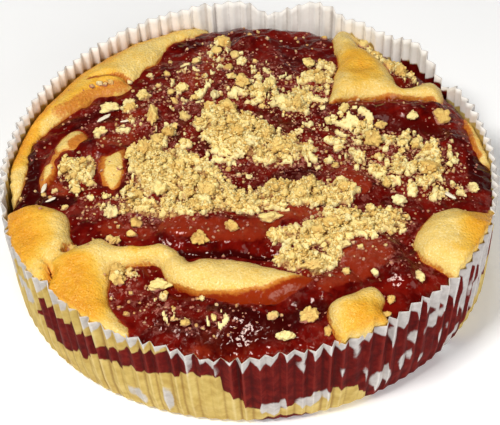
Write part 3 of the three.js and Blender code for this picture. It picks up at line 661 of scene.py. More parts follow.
class Top:
    """Height and colour maps of the cake's top."""

    def __init__(self):
        self.x, self.y = (
            along + 0.7 * grain(9, seed) + 0.25 * grain(2.2, seed + 1)
            for along, seed in ((MAP_X, 11), (MAP_Y, 13))
        )
        self.lobes()
        self.heights()
        self.crumb_bed()
        self.colours()

    def ridges(self, table, profile=soft_patch):
        """The greatest of some (..., amount, spine) entries at each point, and at least 0."""
        most = np.zeros(MAP_X.shape)
        for *_, amount, spine in table:
            most = np.maximum(most, amount * profile(across(spine, self.x, self.y)))
        return most

    def lobes(self):
        """How far the lobes lift the sponge, less its seams, and how far inside a lobe each point is."""
        lift = np.zeros(MAP_X.shape)
        self.into_lobe = np.full(MAP_X.shape, FAR_OUT)
        for rise, width, outline in LOBES.values():
            depth = lobe_map(outline, self.x, self.y)
            inner = blur(np.clip(depth, -2, 2 * width), 1.3)
            eased = mix(depth, inner, smooth(depth / 3.5))
            t = np.clip(eased / width, 0, 1)
            lift = np.maximum(lift, (BASIN + rise) * np.sqrt(1 - (1 - t) ** 2))
            self.into_lobe = np.maximum(self.into_lobe, depth)
        seam = self.ridges(SEAMS, mound_profile)
        self.into_lobe -= 3 * seam
        self.lift = lift - seam
        self.puffed = (0.6 * grain(10, 21, 2) + 0.4 * grain(3.6, 22)) * smooth(lift / 3)

    def heights(self):
        """The sponge and the filling, each hidden where the other stands higher."""
        level = DOME - self.ridges(HOLLOWS, heap_profile)
        mound = blur(self.ridges(MOUNDS, mound_profile), 0.8)
        self.density = np.clip(blur(self.densities(), 0.5), 0, 1)
        self.cover = smooth((self.density - 0.45) / 0.4)
        self.pool = self.ridges(POOLS)
        calm = 1 - POOL_CALM * np.clip(self.pool, 0, 1)
        lumps = 0.7 * grain(7, 31) + 0.6 * grain(3.0, 32, 2) * calm + 0.3 * grain(1.3, 33, 2) * self.cover
        filling = level + mound + HEAP_SHARE * self.ridges(HEAPS, heap_profile) + lumps
        edge = rim_height(MAP_A) - 0.5 + RIM_SLOPE * (1 - MAP_K) * RIM_RADIUS
        self.filling = np.minimum(filling, edge + 0.3 * grain(2.1, 34))
        sponge = level - BASIN + np.maximum(mound, self.lift) + self.puffed
        buried = np.minimum(sponge, self.filling - 0.5)
        self.sponge = mix(sponge, buried, smooth(0.5 - self.into_lobe))
        self.surface = np.maximum(self.sponge, self.filling)

    def densities(self):
        """How densely crumbs lie, before it is smoothed: ragged, and nearly bare on the lobes."""
        ragged = 0.26 * grain(5, 41) + 0.234 * grain(2.2, 42)
        dense = self.ridges([(amount, spine) for amount, _, spine in HEAPS], crumb_profile)
        bare_lobes = mix(1.0, 0.08, smooth((self.into_lobe + 0.5) / 1.5))
        return (dense + ragged * smooth(2.5 * dense)) * bare_lobes

    def crumb_bed(self):
        """The closed part of the crumb heaps: puffed clumps with gaps between them, and a mask of painted
        shade in its creases.
        """
        clumps, small, tiny = (puffs(size, seed) for size, seed in ((5.0, 43), (2.6, 44), (1.4, 45)))
        self.clumped = smooth(0.62 * clumps + 0.38 * small)
        here = 0.74 * self.density - 0.5 + 0.9 * (self.clumped - 0.5)
        rise = 0.6 * smooth(here / 0.4) + 0.8 * clumps + 0.8 * small + 0.55 * tiny + 0.3 * grain(1.0, 46, 1)
        self.painted_crease_shade = smooth(1.6 - 1.3 * small - 0.9 * tiny - 0.5 * clumps)
        self.bed_shown = here > 0
        self.bed = self.surface - 1.15 + np.where(self.bed_shown, rise, 0) + 0.6 * smooth(here / 0.12)
        self.laid = np.where(self.bed_shown, np.maximum(self.bed, self.surface), self.surface)

    def colours(self):
        """Where the sponge is brown or stained, and the filling thin, deep or dusty."""
        patchy = grain(6, 51)
        self.brown = blur(self.ridges(BROWNED), 2.0) + 0.12 * patchy
        above = self.sponge - self.filling
        edge = np.exp(-np.clip(above, 0, 9) / 0.45)
        edge = np.maximum(edge, np.exp(-np.clip(self.into_lobe - 0.3, 0, 9) / 0.55))
        self.stain = np.maximum(self.ridges(STAINED), 0.85 * edge * (0.8 + 0.4 * patchy))
        halo = 0.9 * np.exp(-np.clip(-above, 0, 9) / 0.9) * (0.8 + 0.5 * patchy)
        self.film = np.maximum(self.ridges(FILMS) + 0.12 * grain(1.6, 52), halo)
        dust = 0.1 + 0.8 * blur(self.density, 3.5) + 0.6 * self.ridges(SPRINKLED) + 0.4 * patchy
        self.dust = np.clip(dust, 0, 1) * (1 - 0.75 * self.pool) * (1 - 0.3 * np.clip(self.film, 0, 1))


top = Top()


# ---- Meshes ----
def make_piece(name, points, faces, material, slot, attributes, node=None):
    """A shaded mesh that rides on the part, from points in millimetres."""
    mesh = bpy.data.meshes.new(name)
    mesh.from_pydata(((points - np.array(MIDDLE)) * MM).tolist(), [], faces)
    mesh.validate()
    mesh.polygons.foreach_set("use_smooth", np.ones(len(mesh.polygons), bool))
    for key, values in attributes.items():
        attribute = mesh.attributes.new(key, "FLOAT", "POINT")
        attribute.data.foreach_set("value", np.asarray(values, np.float32).ravel())
    mesh.materials.append(material)
    piece = bpy.data.objects.new(name, mesh)
    bpy.context.scene.collection.objects.link(piece)
    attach(piece, "root")
    if node:
        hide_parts(node)


def squares(number):
    """The quads between neighbouring point numbers of a grid."""
    return np.stack([number[:-1, :-1], number[:-1, 1:], number[1:, 1:], number[1:, :-1]], -1)


def disc_grid():
    """A square grid mapped onto the disc: radius share, direction, cells and border."""
    u, v = np.meshgrid(np.linspace(-1, 1, GRID + 1), np.linspace(-1, 1, GRID + 1), indexing="xy")
    wide = np.abs(u) > np.abs(v)
    out = np.where(wide, u, v)
    inner = np.where(wide, v, u)
    turn = np.pi / 4 * np.divide(inner, out, out=np.zeros_like(out), where=out != 0)
    angle = np.where(wide, turn, np.pi / 2 - turn)
    x = out * np.cos(angle)
    y = out * np.sin(angle)
    number = np.arange((GRID + 1) ** 2).reshape(GRID + 1, GRID + 1)
    border = np.concatenate([number[0, :-1], number[:-1, -1], number[-1, :0:-1], number[:0:-1, 0]])
    return np.hypot(x, y).ravel(), np.arctan2(y, x).ravel(), squares(number).reshape(-1, 4), border


K, ANGLE, CELLS, BORDER = disc_grid()
GRID_PLACES = around(ANGLE, K * edge_radius(ANGLE))


def on_grid(field):
    return sample(field, *GRID_PLACES.T)


def placed(k, angle, z):
    """Points at a share of the radius: the cake's edge fills the pleats, and bulges over the rim."""
    over_rim = smooth((z - rim_height(angle) + 0.4) / 1.6)
    inset = LEFT_INSET * smooth(1.4 - turn_from(angle, LEFT_INSET_AT) / LEFT_INSET_HALF)
    edge = mix(fluted_radius(angle, z), rim_radius(angle) + BULGE_OVER_RIM, over_rim) - inset
    filled = smooth((k - FLUTED_FROM) / (1 - FLUTED_FROM)) * smooth((z - FLUTED_FOOT) / FLUTED_FADE)
    return around(angle, k * mix(side_radius(angle, z), edge, filled), z)


def rings_from(first, rings, length):
    """The point numbers of rings of equal length, one after another."""
    return list(first + np.arange(rings * length).reshape(rings, length))


def bands(rings):
    """Quads between rings of point numbers, each ring above the one before."""
    pairs = zip(rings, rings[1:])
    faces = [np.stack([low, np.roll(low, -1), np.roll(high, -1), high], 1) for low, high in pairs]
    return np.concatenate(faces).tolist()


def fan(ring, centre):
    return [(centre, b, a) for a, b in zip(ring.tolist(), np.roll(ring, -1).tolist())]


def sponge_mesh():
    """The whole cake below the filling, with its lobes."""
    tops = on_grid(top.sponge)
    foot = FLOOR + GAP
    side = [placed(1, ANGLE[BORDER], mix(foot, tops[BORDER], share)) for share in SIDE_SHARES]
    points = np.concatenate([placed(K, ANGLE, tops), *side, [(0, 0, foot)]])
    rings = rings_from(len(K), len(side), len(BORDER)) + [BORDER]
    return points, CELLS.tolist() + bands(rings) + fan(rings[0], len(points) - 1)


def filling_mesh():
    """A skin of filling wherever it stands above the sponge, closed underneath."""
    sponge = on_grid(top.sponge)
    filling = on_grid(top.filling)
    shown = filling > sponge - 0.35
    upper = placed(K, ANGLE, np.where(shown, filling, np.minimum(filling, sponge - 0.6)))
    lower = placed(K, ANGLE, np.minimum(sponge, filling) - SKIN_DEPTH)
    return closed_skin(upper, lower, CELLS[shown[CELLS].any(1)])


def bed_mesh():
    """The crumb heaps' closed part, on the cells of the maps."""
    cells = squares(np.arange(MAP_X.size).reshape(MAP_X.shape))
    cells = cells[squares(top.bed_shown).all(2)][:, [0, 3, 2, 1]]
    jitter = 0.12 * grain(0.7, 46, 1)
    upper = np.stack([MAP_X + jitter, MAP_Y - jitter, top.bed], -1).reshape(-1, 3)
    lower = np.stack([MAP_X, MAP_Y, top.surface - BED_DEPTH], -1).reshape(-1, 3)
    return closed_skin(upper, lower, cells)


def closed_skin(upper, lower, cells):
    """A solid between two sheets with the same cells: points, faces, and each point's number in them."""
    count = len(upper)
    sides = np.concatenate([cells[:, [n, (n + 1) % 4]] for n in range(4)])
    forward = sides[:, 0] * count + sides[:, 1]
    backward = sides[:, 1] * count + sides[:, 0]
    start, end = sides[~np.isin(forward, backward)].T
    walls = np.stack([end, start, start + count, end + count], 1)
    faces = np.concatenate([cells, cells[:, ::-1] + count, walls])
    used, renumbered = np.unique(faces, return_inverse=True)
    points = np.concatenate([upper, lower])[used]
    return points, renumbered.reshape(-1, 4).tolist(), used % count


def wall_columns():
    """The wall's columns: direction, how far each stands out, the rim's lift, flank and its middle."""
    flank, step = np.divmod(np.arange(FOLDS * WALL_PER_FOLD), WALL_PER_FOLD)
    t = step / WALL_PER_FOLD
    a0, s0, l0 = fold(flank)
    a1, s1, l1 = fold((flank + 1) % FOLDS)
    a1 = np.where(a1 < a0, a1 + TAU, a1)
    bend = mix(t, smooth(t), 0.15)
    return mix(a0, a1, t), mix(s0, s1, bend), mix(l0, l1, t), flank, (a0 + a1) / 2


def along_wall(table, angle, **ends):
    """The values of a table of (direction, value, ...) rows, in between its directions."""
    directions, *rows = np.array(table, float).T
    degrees = (np.degrees(angle) + 180) % 360 - 180
    return [np.interp(degrees, directions, row, **ends) for row in rows]


def band_margin(table, angle, z):
    """How far inside a stain a point of the wall is, in millimetres."""
    low, high = along_wall(table, angle, left=np.nan, right=np.nan)
    return np.nan_to_num(np.minimum(z - low, high - z), nan=OFF_THE_STAIN)


def patch_margin(angle, z):
    """How far inside a dry patch a point of the wall is, in millimetres."""
    most = np.full(np.shape(z), OFF_THE_STAIN)
    for at, height, half_width, half_height in DRY_PATCHES:
        away = np.hypot(turn_from(angle, at) / half_width, (z - height) / half_height)
        most = np.maximum(most, (1 - away) * min(half_height, 1.4 * half_width))
    return most


def outer_margins(angle, z, side, flank, middle):
    """Margins of the red stain and of the dry paper on the wall's outside, in millimetres."""
    degrees = np.degrees(angle)
    shift, drop, reach = (np.random.default_rng(64 + n).uniform(-1, 1, FOLDS)[flank] for n in range(3))
    waver = 1.6 * noise(degrees * 0.9, z * 0.35, 5, 61)
    red = band_margin(FOOT_STAIN, angle, z)
    for band in STAIN_BANDS:
        red = np.maximum(red, band_margin(band, middle, z + 1.9 * shift))
    length, spread = along_wall(TIPS, middle, period=360)
    ragged = 1.2 * side + 0.5 * noise(degrees, z * 0.2, 2.5, 62)
    tips = z - rim_height(angle) + length + spread * drop + ragged
    patches = patch_margin(mix(angle, middle, 0.75), z + 2.0 * reach)
    dry = np.maximum(tips, patches + 0.8 * side - 0.4)
    return red + waver - 0.4 * side, dry + 0.3 * waver


def inner_margins(angle, z):
    """The same margins on its inside, which is dry down to the cake, but for one splash."""
    degrees = np.degrees(angle)
    contact = sample(top.surface, *around(angle, 0.998 * edge_radius(angle)).T)
    dry = z - contact - 0.3 + 0.5 * noise(degrees, z * 0, 3, 73)
    stain = contact + 2.2 - z + 1.6 * noise(degrees, z * 0, 4, 74)
    splash = turn_from(angle, SPLASH_AT) < SPLASH_HALF
    return np.where(splash, stain, -MARGIN), np.where(splash, np.minimum(dry, -stain), dry)


def wall_ring(columns, face, height_share, floor):
    """One ring of the case, outside where face is 1 and inside where it is -1, with its attributes."""
    angle, side, lift, flank, middle = columns
    z = mix(floor, rim_height(angle) + lift, height_share)
    lean = RIM_LEAN * height_share * noise(np.arange(len(angle)) / WALL_PER_FOLD, z / 9, 2.0, 71)
    buckle = BUCKLE * height_share * noise(np.degrees(angle), z / 3, 3.2, 72)
    curl = FOOT_CURL * np.clip(1 - z / FOOT_CURL_HEIGHT, 0, 1) ** 2
    r = wall_radius(angle, z) + side * pleat_depth(angle, z) / 2 + face * THIN_PAPER / 2 + buckle - curl
    red, dry = outer_margins(angle, z, side, flank, middle) if face > 0 else inner_margins(angle, z)
    red, dry = np.clip((red, dry), -MARGIN, MARGIN)
    # The last value marks crests and valleys, for the painted light and shade of the pleats.
    return around(angle + lean, r, z), red, dry, np.full(len(angle), float(face < 0)), side * face


def paper_mesh():
    """The pleated case as a thin closed shell, with its stain margins."""
    columns = wall_columns()
    outside = [(1, n / WALL_ROWS, 0.0) for n in range(WALL_ROWS + 1)]
    inside = [(-1, (n / INNER_ROWS) ** 0.7, FLOOR) for n in range(INNER_ROWS, -1, -1)]
    rows = [wall_ring(columns, *row) for row in outside + inside]
    points, *values = (np.concatenate(kind) for kind in zip(*rows))
    centres = {"red": (-MARGIN, -MARGIN), "dry": (-MARGIN, -MARGIN), "inner": (0, 1), "crest": (0, 0)}
    attributes = {name: [*value, *centre] for (name, centre), value in zip(centres.items(), values)}
    rings = rings_from(0, len(rows), len(columns[0]))
    faces = bands(rings) + fan(rings[0], len(points)) + fan(rings[-1][::-1], len(points) + 1)
    return np.concatenate([points, [(0, 0, 0), (0, 0, FLOOR)]]), faces, attributes


# ---- Crumbs ----
def ball(subdivisions):
    """Corners and triangles of an icosphere of radius 1."""
    made = bmesh.new()
    bmesh.ops.create_icosphere(made, subdivisions=subdivisions + 1, radius=1)
    corners = np.array([v.co[:] for v in made.verts])
    triangles = np.array([[v.index for v in f.verts] for f in made.faces])
    made.free()
    return corners, triangles


def random_turns(random, count):
    """Rotation matrices spread evenly over all turns."""
    q = random.normal(size=(count, 4))
    w, x, y, z = (q / np.linalg.norm(q, axis=1, keepdims=True)).T
    rows = [
        [1 - 2 * (y * y + z * z), 2 * (x * y - w * z), 2 * (x * z + w * y)],
        [2 * (x * y + w * z), 1 - 2 * (x * x + z * z), 2 * (y * z - w * x)],
        [2 * (x * z - w * y), 2 * (y * z + w * x), 1 - 2 * (x * x + y * y)],
    ]
    return np.array(rows).transpose(2, 0, 1)


class Pile:
    """Lays crumbs one by one on the cake, each on what lies there already."""

    def __init__(self):
        self.height = top.laid.copy()

    def lay(self, x, y, r):
        """The height of the middle of a crumb laid at (x, y), or None where the pile is full."""
        reach = math.ceil(r / STEP)
        i = int(round((x + SPAN) / STEP))
        j = int(round((y + SPAN) / STEP))
        window = (slice(i - reach, i + reach + 1), slice(j - reach, j + reach + 1))
        away = np.hypot(MAP_X[window] - x, MAP_Y[window] - y) / r
        under = self.height[window][away < 0.75]
        rest = under.mean() if under.size else self.height[i, j]
        if rest - top.laid[i, j] > DEEPEST_PILE:
            return None
        z = min(rest + (CRUMB_STANDS if r > FLECK_SIZE else FLECK_STANDS) * r, HIGHEST - 1.1 * r)
        cap = z + 0.7 * r * np.sqrt(np.clip(1 - away**2, 0, 1))
        self.height[window] = np.where(away < 1, np.maximum(self.height[window], cap), self.height[window])
        return z


def scattered_crumbs(random):
    """Crumbs thrown at random, most on the heaps: (turn to be laid, kind, x, y, r, wide, deep)."""
    heaped = top.density**1.3 * (0.15 + top.clumped)
    beside = blur(top.density, 4.0) * (1 - top.cover) * smooth(3 * top.clumped - 1)
    for kind, (count, largest, smallest, _, _) in CRUMB_KINDS.items():
        loose = STRAY_DENSITY * (1 if largest > 1 else 1 + 1.5 * top.dust)
        loose = loose + (0.12 * beside if kind == "crumb_flecks" else 0)
        chance = (heaped + loose * np.where(top.into_lobe < 0.5, 1, 0.04)) * (MAP_K < CRUMBS_END)
        chance *= np.where(top.bed_shown, ON_BED[kind], 1)
        running = np.cumsum(chance.ravel())
        cells = np.searchsorted(running / running[-1], random.random(count))
        sizes = smallest + (largest - smallest) * random.random(count) ** 1.6
        order = random.random(count) - 0.25 * sizes
        x, y = random.uniform(-0.5, 0.5, (count, 2)).T * STEP
        x += MAP_X.flat[cells]
        y += MAP_Y.flat[cells]
        yield from ((*entry, 1.0, 1.0) for entry in zip(order, [kind] * count, x, y, sizes))


def single_crumbs():
    """The crumbs that stand out, in the same form."""
    for (x, y), (_, _, wide, deep) in zip(onto(top.laid, SINGLE_CRUMBS), SINGLE_CRUMBS):
        r = SINGLE_SIZE * math.sqrt(wide * deep) / 2
        kind = "crumb_lumps" if r > LUMP_SIZE else "crumb_grains"
        yield 0.25, kind, x, y, r, math.sqrt(wide / deep), math.sqrt(deep / wide)


def crumb_places():
    """Where every crumb lies: rows of (x, y, z, r, wide, deep) for each kind."""
    waiting = [*scattered_crumbs(np.random.default_rng(5)), *single_crumbs()]
    waiting.sort(key=lambda entry: entry[0])
    pile = Pile()
    places = {kind: [] for kind in CRUMB_KINDS}
    for _, kind, x, y, r, wide, deep in waiting:
        z = pile.lay(x, y, r)
        if z is not None:
            places[kind].append((x, y, z, r, wide, deep))
    return {kind: np.array(rows) for kind, rows in places.items()}


def crumb_shapes(count, corners, knobbly, roughness, least, seed, random):
    """Rough broken balls, each stretched and turned at random, and how far each corner swells."""
    x, y, z = np.moveaxis(corners + random.uniform(0, 30, (count, 1, 3)), 2, 0)
    rough = noise(x, y, 0.9, seed, 2, z)
    if knobbly:
        rough = 0.5 * rough + 2.2 * np.abs(noise(x, y, 0.6, seed + 9, 2, z)) - 0.4
    normals = random.normal(size=(count, FLATS, 3))
    normals /= np.linalg.norm(normals, axis=2, keepdims=True)
    towards = np.maximum(normals @ corners.T, 1e-3)
    flats = random.uniform(0.55, 1.0, (count, FLATS, 1)) / towards
    swell = np.minimum(flats.min(1), 1) + roughness * rough
    stretch = random.uniform(least, 2 - least, (count, 3, 1))
    return random_turns(random, count) @ (corners.T * swell[:, None] * stretch), swell


def crumbs_mesh(kind, places, seed):
    """All crumbs of one kind as one mesh, with their tone, soaking and painted crease shade."""
    *_, subdivisions, roughness = CRUMB_KINDS[kind]
    flatness, least, least_soaked = CRUMB_FORM if subdivisions else FLAKE_FORM
    random = np.random.default_rng(seed)
    corners, triangles = ball(subdivisions)
    count = len(places)
    shapes, swell = crumb_shapes(count, corners, subdivisions > 1, roughness, least, seed, random)
    x, y, z, r, wide, deep = places.T[:, :, None]
    sizes = r * wide, r * deep, r * flatness
    points = np.stack([c + shapes[:, n] * sizes[n] for n, c in enumerate((x, y, z))], -1).reshape(-1, 3)
    faces = (triangles + (np.arange(count) * len(corners))[:, None, None]).reshape(-1, 3)
    tone_and_crown_light = np.repeat(random.random(count), len(corners))
    ground, thick = (sample(field, points[:, 0], points[:, 1]) for field in (top.surface, top.density))
    soaked = np.clip(1.45 - (points[:, 2] - ground) / 0.8, 0, 1) * (1 - 0.8 * np.clip(thick, 0, 1))
    soaked *= np.repeat(random.uniform(least_soaked, 1.25, count), len(corners))
    # Painted shade where the crumb's surface dents in.
    painted_crease_shade = np.clip(1.1 - swell, 0, 1) if subdivisions else 0.5 - 0.5 * swell
    return points, faces.tolist(), {"tone_and_crown_light": tone_and_crown_light, "soaked": soaked, "painted_crease_shade": painted_crease_shade}


def slivers_mesh():
    """Thin pale flakes."""
    random = np.random.default_rng(77)
    corners, triangles = ball(2)
    points, faces = [], []
    for n, ((x, y), (_, _, length, turn)) in enumerate(zip(onto(top.surface, SLIVERS), SLIVERS)):
        wavy = 1 + 0.25 * noise(corners[:, 0] * 2 + 5 * n, corners[:, 1], 0.8, 81)
        shape = corners * wavy[:, None] * (length / 2, length / 7, length / 14)
        shape = shape @ np.array(Matrix.Rotation(math.radians(turn), 3, "Z")).T
        points.append(shape + (x, y, sample(top.surface, x, y) + 1.2 + random.random() * 0.4))
        faces += (triangles + n * len(corners)).tolist()
    return np.concatenate(points), faces


# ---- Materials ----
class Shader:
    """A material's nodes, joined in short steps. A tuple of three is a colour as it looks on screen."""

    def __init__(self, name):
        self.material = bpy.data.materials.new(name)
        self.material.use_nodes = True
        self.tree = self.material.node_tree
        self.surface = self.tree.nodes["Principled BSDF"]
        self.coordinates = self.add("ShaderNodeTexCoord").outputs["Object"]

    def add(self, kind, inputs=(), **settings):
        """A new node, with its inputs linked or set."""
        node = self.tree.nodes.new(kind)
        for name, value in settings.items():
            setattr(node, name, value)
        for name, value in dict(inputs).items():
            self.link(value, node.inputs[name])
        return node

    def link(self, value, socket):
        if isinstance(value, bpy.types.NodeSocket):
            self.tree.links.new(value, socket)
        else:
            socket.default_value = rgb(*value) if isinstance(value, tuple) else value

    def attribute(self, name):
        return self.add("ShaderNodeAttribute", attribute_name=name).outputs["Fac"]

    def noise(self, size, detail=3.0, roughness=0.55, distortion=0.0):
        inputs = {
            "Vector": self.coordinates, "Scale": 1 / (size * MM), "Detail": detail,
            "Roughness": roughness, "Distortion": distortion,
        }
        return self.add("ShaderNodeTexNoise", inputs).outputs["Fac"]

    def pores(self, size):
        inputs = {"Vector": self.coordinates, "Scale": 1 / (size * MM)}
        return self.add("ShaderNodeTexVoronoi", inputs).outputs["Distance"]

    def math(self, operation, a, b, clamp=False):
        inputs = {0: a, 1: b}
        return self.add("ShaderNodeMath", inputs, operation=operation, use_clamp=clamp).outputs[0]

    def plus(self, a, b, clamp=False):
        return self.math("ADD", a, b, clamp)

    def times(self, a, b, clamp=False):
        return self.math("MULTIPLY", a, b, clamp)

    def uneven(self, value, pattern, amount, middle=0.5):
        """A value, raised where a pattern is over its middle and lowered where it is under it."""
        return self.plus(value, self.times(self.math("SUBTRACT", pattern, middle), amount))

    def less(self, value, amount):
        """1 less a share of a value."""
        return self.math("SUBTRACT", 1.0, self.times(value, amount))

    def range(self, value, low, high, to_low=0.0, to_high=1.0):
        inputs = {"Value": value, "From Min": low, "From Max": high, "To Min": to_low, "To Max": to_high}
        return self.add("ShaderNodeMapRange", inputs, interpolation_type="SMOOTHSTEP").outputs["Result"]

    def mix(self, a, b, share):
        inputs = {0: share, 6: a, 7: b}
        return self.add("ShaderNodeMix", inputs, data_type="RGBA").outputs[2]

    def ramp(self, value, *stops):
        node = self.add("ShaderNodeValToRGB", {"Fac": value})
        elements = node.color_ramp.elements
        while len(elements) < len(stops):
            elements.new(0.5)
        for element, (at, colour) in zip(elements, stops):
            element.position = at
            element.color = rgb(*colour)
        return node.outputs["Color"]

    def bump(self, height, depth, before=None):
        """Relief of the given depth in millimetres."""
        node = self.add("ShaderNodeBump", {"Height": height, "Distance": depth * MM})
        if before is not None:
            self.link(before, node.inputs["Normal"])
        return node.outputs["Normal"]

    def finish(self, colour, roughness, normal, **constants):
        self.link(colour, self.surface.inputs["Base Color"])
        self.link(roughness, self.surface.inputs["Roughness"])
        self.link(normal, self.surface.inputs["Normal"])
        for name, value in constants.items():
            self.surface.inputs[name.replace("_", " ")].default_value = value
        return self.material


def sponge_material():
    """Pale moist sponge, golden to brown where it baked hardest, red-brown where filling soaked in, with
    painted shade in its pores and painted sparkle.
    """
    s = Shader("sponge")
    fine = s.noise(1.1, 3)
    patches = s.plus(s.times(s.noise(7, 4), 0.6), s.times(s.noise(2.2, 3), 0.6))
    baked = s.uneven(s.attribute("brown"), patches, 1.0, 0.56)
    colour = s.ramp(
        baked, (0.0, (236, 200, 108)), (0.35, (237, 184, 62)), (0.7, (234, 164, 36)), (1.0, (222, 144, 24))
    )
    pale = s.times(s.range(baked, 0.6, 0.1, 0.05, 0.4), s.range(fine, 0.35, 0.7))
    colour = s.mix(colour, (243, 217, 144), pale)
    # Painted shade: darker dots in the sponge's pores.
    colour = s.mix(colour, (206, 150, 66), s.range(s.pores(0.9), 0.2, 0.02, 0.0, 0.5))
    # Painted highlight: tiny near-white sparkles, warmer where the sponge baked brown.
    painted_sparkle = s.range(s.noise(0.55, 3, 0.7), 0.52, 0.66, 0.0, 0.55)
    colour = s.mix(colour, s.mix((255, 240, 186), (250, 206, 96), s.range(baked, 0.1, 0.5)), painted_sparkle)
    soaked = s.uneven(s.attribute("stain"), fine, 0.7)
    colour = s.mix(colour, (204, 126, 46), s.range(soaked, 0.2, 0.55))
    colour = s.mix(colour, (144, 42, 6), s.range(soaked, 0.6, 1.1))
    wet = s.range(soaked, 0.3, 0.8)
    roughness = s.times(s.range(s.noise(0.6, 2), 0.35, 0.65, 0.2, 0.5), s.less(wet, 0.5))
    normal = s.bump(s.noise(2.4, 2, 0.5), 0.35)
    normal = s.bump(s.times(s.noise(0.7, 2, 0.5), s.less(wet, 0.8)), 0.4, normal)
    return s.finish(colour, roughness, normal, Specular_IOR_Level=0.35, Specular_Tint=(1.0, 0.9, 0.75, 1.0))


def filling_material():
    """Dark red cooked fruit, wet and lumpy, orange where it is thin and dulled by crumb dust, crumb-coloured
    under the heaps with painted shade between the crumbs.
    """
    s = Shader("filling")
    broad = s.noise(8, 4, 0.6, 0.6)
    specks = s.noise(0.9, 3, 0.6)
    colour = s.ramp(broad, (0.3, (50, 0, 0)), (0.45, (84, 2, 0)), (0.6, (112, 12, 4)), (0.8, (134, 28, 8)))
    film = s.uneven(s.attribute("film"), s.noise(1.6, 4, 0.6), 0.7)
    colour = s.mix(colour, (132, 36, 14), s.range(film, 0.2, 0.6))
    colour = s.mix(colour, (160, 70, 40), s.range(film, 0.65, 1.2))
    pool = s.uneven(s.attribute("pool"), broad, 0.8)
    colour = s.mix(colour, (46, 0, 0), s.range(pool, 0.25, 0.9, 0.0, 0.9))
    dust = s.attribute("dust")
    mottled = s.times(dust, s.range(s.noise(3.2, 4, 0.65), 0.42, 0.62))
    colour = s.mix(colour, (132, 58, 44), s.times(mottled, 0.6))
    flecks = s.times(dust, s.range(s.noise(1.7, 4, 0.7, 0.4), 0.52, 0.6))
    colour = s.mix(colour, (176, 104, 90), s.times(flecks, 0.85))
    cover = s.attribute("cover")
    # Under the heaps the filling takes the crumbs' colour, darker than the crumbs themselves: painted shade
    # of the gaps between them.
    bed = s.ramp(specks, (0.3, (104, 50, 28)), (0.5, (160, 112, 66)), (0.7, (200, 164, 100)))
    colour = s.mix(colour, bed, s.range(s.plus(cover, s.times(specks, 0.4)), 0.6, 1.1))
    dull = s.plus(cover, s.times(flecks, 0.6), clamp=True)
    normal = s.bump(s.noise(2.4, 1, 0.4), 0.6)
    normal = s.bump(s.times(specks, dull), 0.3, normal)
    roughness = s.range(dull, 0.0, 1.0, 0.09, 0.75)
    return s.finish(colour, roughness, normal, Specular_IOR_Level=0.18, Specular_Tint=(1.0, 0.78, 0.7, 1.0))


def crumb_material():
    """Dry biscuit crumb, some paler and some more golden, reddish where it touches the filling, with painted
    shade in its creases and dents and painted light on the heaps' clump crowns.
    """
    s = Shader("crumb")
    fine = s.noise(0.45, 3, 0.6)
    tone_and_crown_light = s.uneven(s.attribute("tone_and_crown_light"), fine, 0.9)
    colour = s.ramp(
        tone_and_crown_light, (0.0, (222, 182, 98)), (0.35, (238, 204, 120)), (0.7, (249, 226, 146)), (1.0, (252, 238, 176))
    )
    colour = s.mix(colour, (212, 160, 84), s.range(fine, 0.42, 0.28, 0.0, 0.25))
    # Painted shade in the creases and dents.
    colour = s.mix(colour, (166, 98, 44), s.times(s.attribute("painted_crease_shade"), 0.6, clamp=True))
    colour = s.mix(colour, (176, 108, 96), s.times(s.attribute("soaked"), 0.95, clamp=True))
    return s.finish(colour, 0.8, s.bump(s.noise(0.9, 2, 0.6), 0.4), Specular_IOR_Level=0.2)


def sliver_material():
    """Pale flakes with a faint grain."""
    s = Shader("slivers")
    fine = s.noise(0.6, 3)
    colour = s.ramp(fine, (0.3, (222, 206, 172)), (0.6, (246, 238, 214)))
    return s.finish(colour, 0.6, s.bump(fine, 0.1))


def paper_material():
    """Thin greaseproof paper: greyish white where dry, tan over the sponge and red over the filling, with
    painted shade in the pleats' valleys and painted light on their crests.
    """
    s = Shader("paper")
    along = s.noise(2.5, 4, 0.6)
    fold = s.uneven(s.attribute("crest"), s.noise(0.9, 3, 0.6), 0.5)
    waver = s.times(s.math("SUBTRACT", along, 0.5), 2.4)
    dry_white = s.ramp(along, (0.3, (178, 172, 168)), (0.7, (208, 203, 199)))
    inside_white = s.ramp(s.noise(5, 3), (0.3, (238, 234, 228)), (0.7, (249, 246, 241)))
    tan = s.ramp(s.noise(4, 3), (0.3, (184, 152, 78)), (0.5, (202, 174, 98)), (0.75, (218, 194, 120)))
    red = s.ramp(s.noise(3, 3), (0.3, (74, 2, 0)), (0.5, (98, 8, 4)), (0.75, (124, 28, 18)))
    stained = s.range(s.plus(s.attribute("red"), waver), -0.4, 0.4)
    colour = s.mix(tan, red, stained)
    # Painted shade in the pleats' valleys and painted light on their crests, on the stained paper.
    deep = s.mix((150, 112, 54), (62, 6, 4), stained)
    colour = s.mix(colour, deep, s.range(fold, -0.25, -1.0, 0.0, 0.75))
    lit = s.mix((226, 206, 146), (140, 44, 34), stained)
    colour = s.mix(colour, lit, s.range(fold, 0.45, 1.0, 0.0, 0.6))
    bare = s.mix(dry_white, inside_white, s.attribute("inner"))
    # The same painted shade and light of the pleats on the bare paper.
    bare = s.mix(bare, (172, 160, 150), s.range(fold, -0.3, -1.0, 0.0, 0.6))
    bare = s.mix(bare, (250, 246, 240), s.range(fold, 0.5, 1.0, 0.0, 0.5))
    dryness = s.plus(s.attribute("dry"), s.times(waver, 0.6))
    colour = s.mix(colour, bare, s.range(dryness, -0.45, 0.45, 0.0, 0.95))
    return s.finish(colour, 0.6, s.bump(s.noise(3, 2), 0.12), Specular_IOR_Level=0.06)


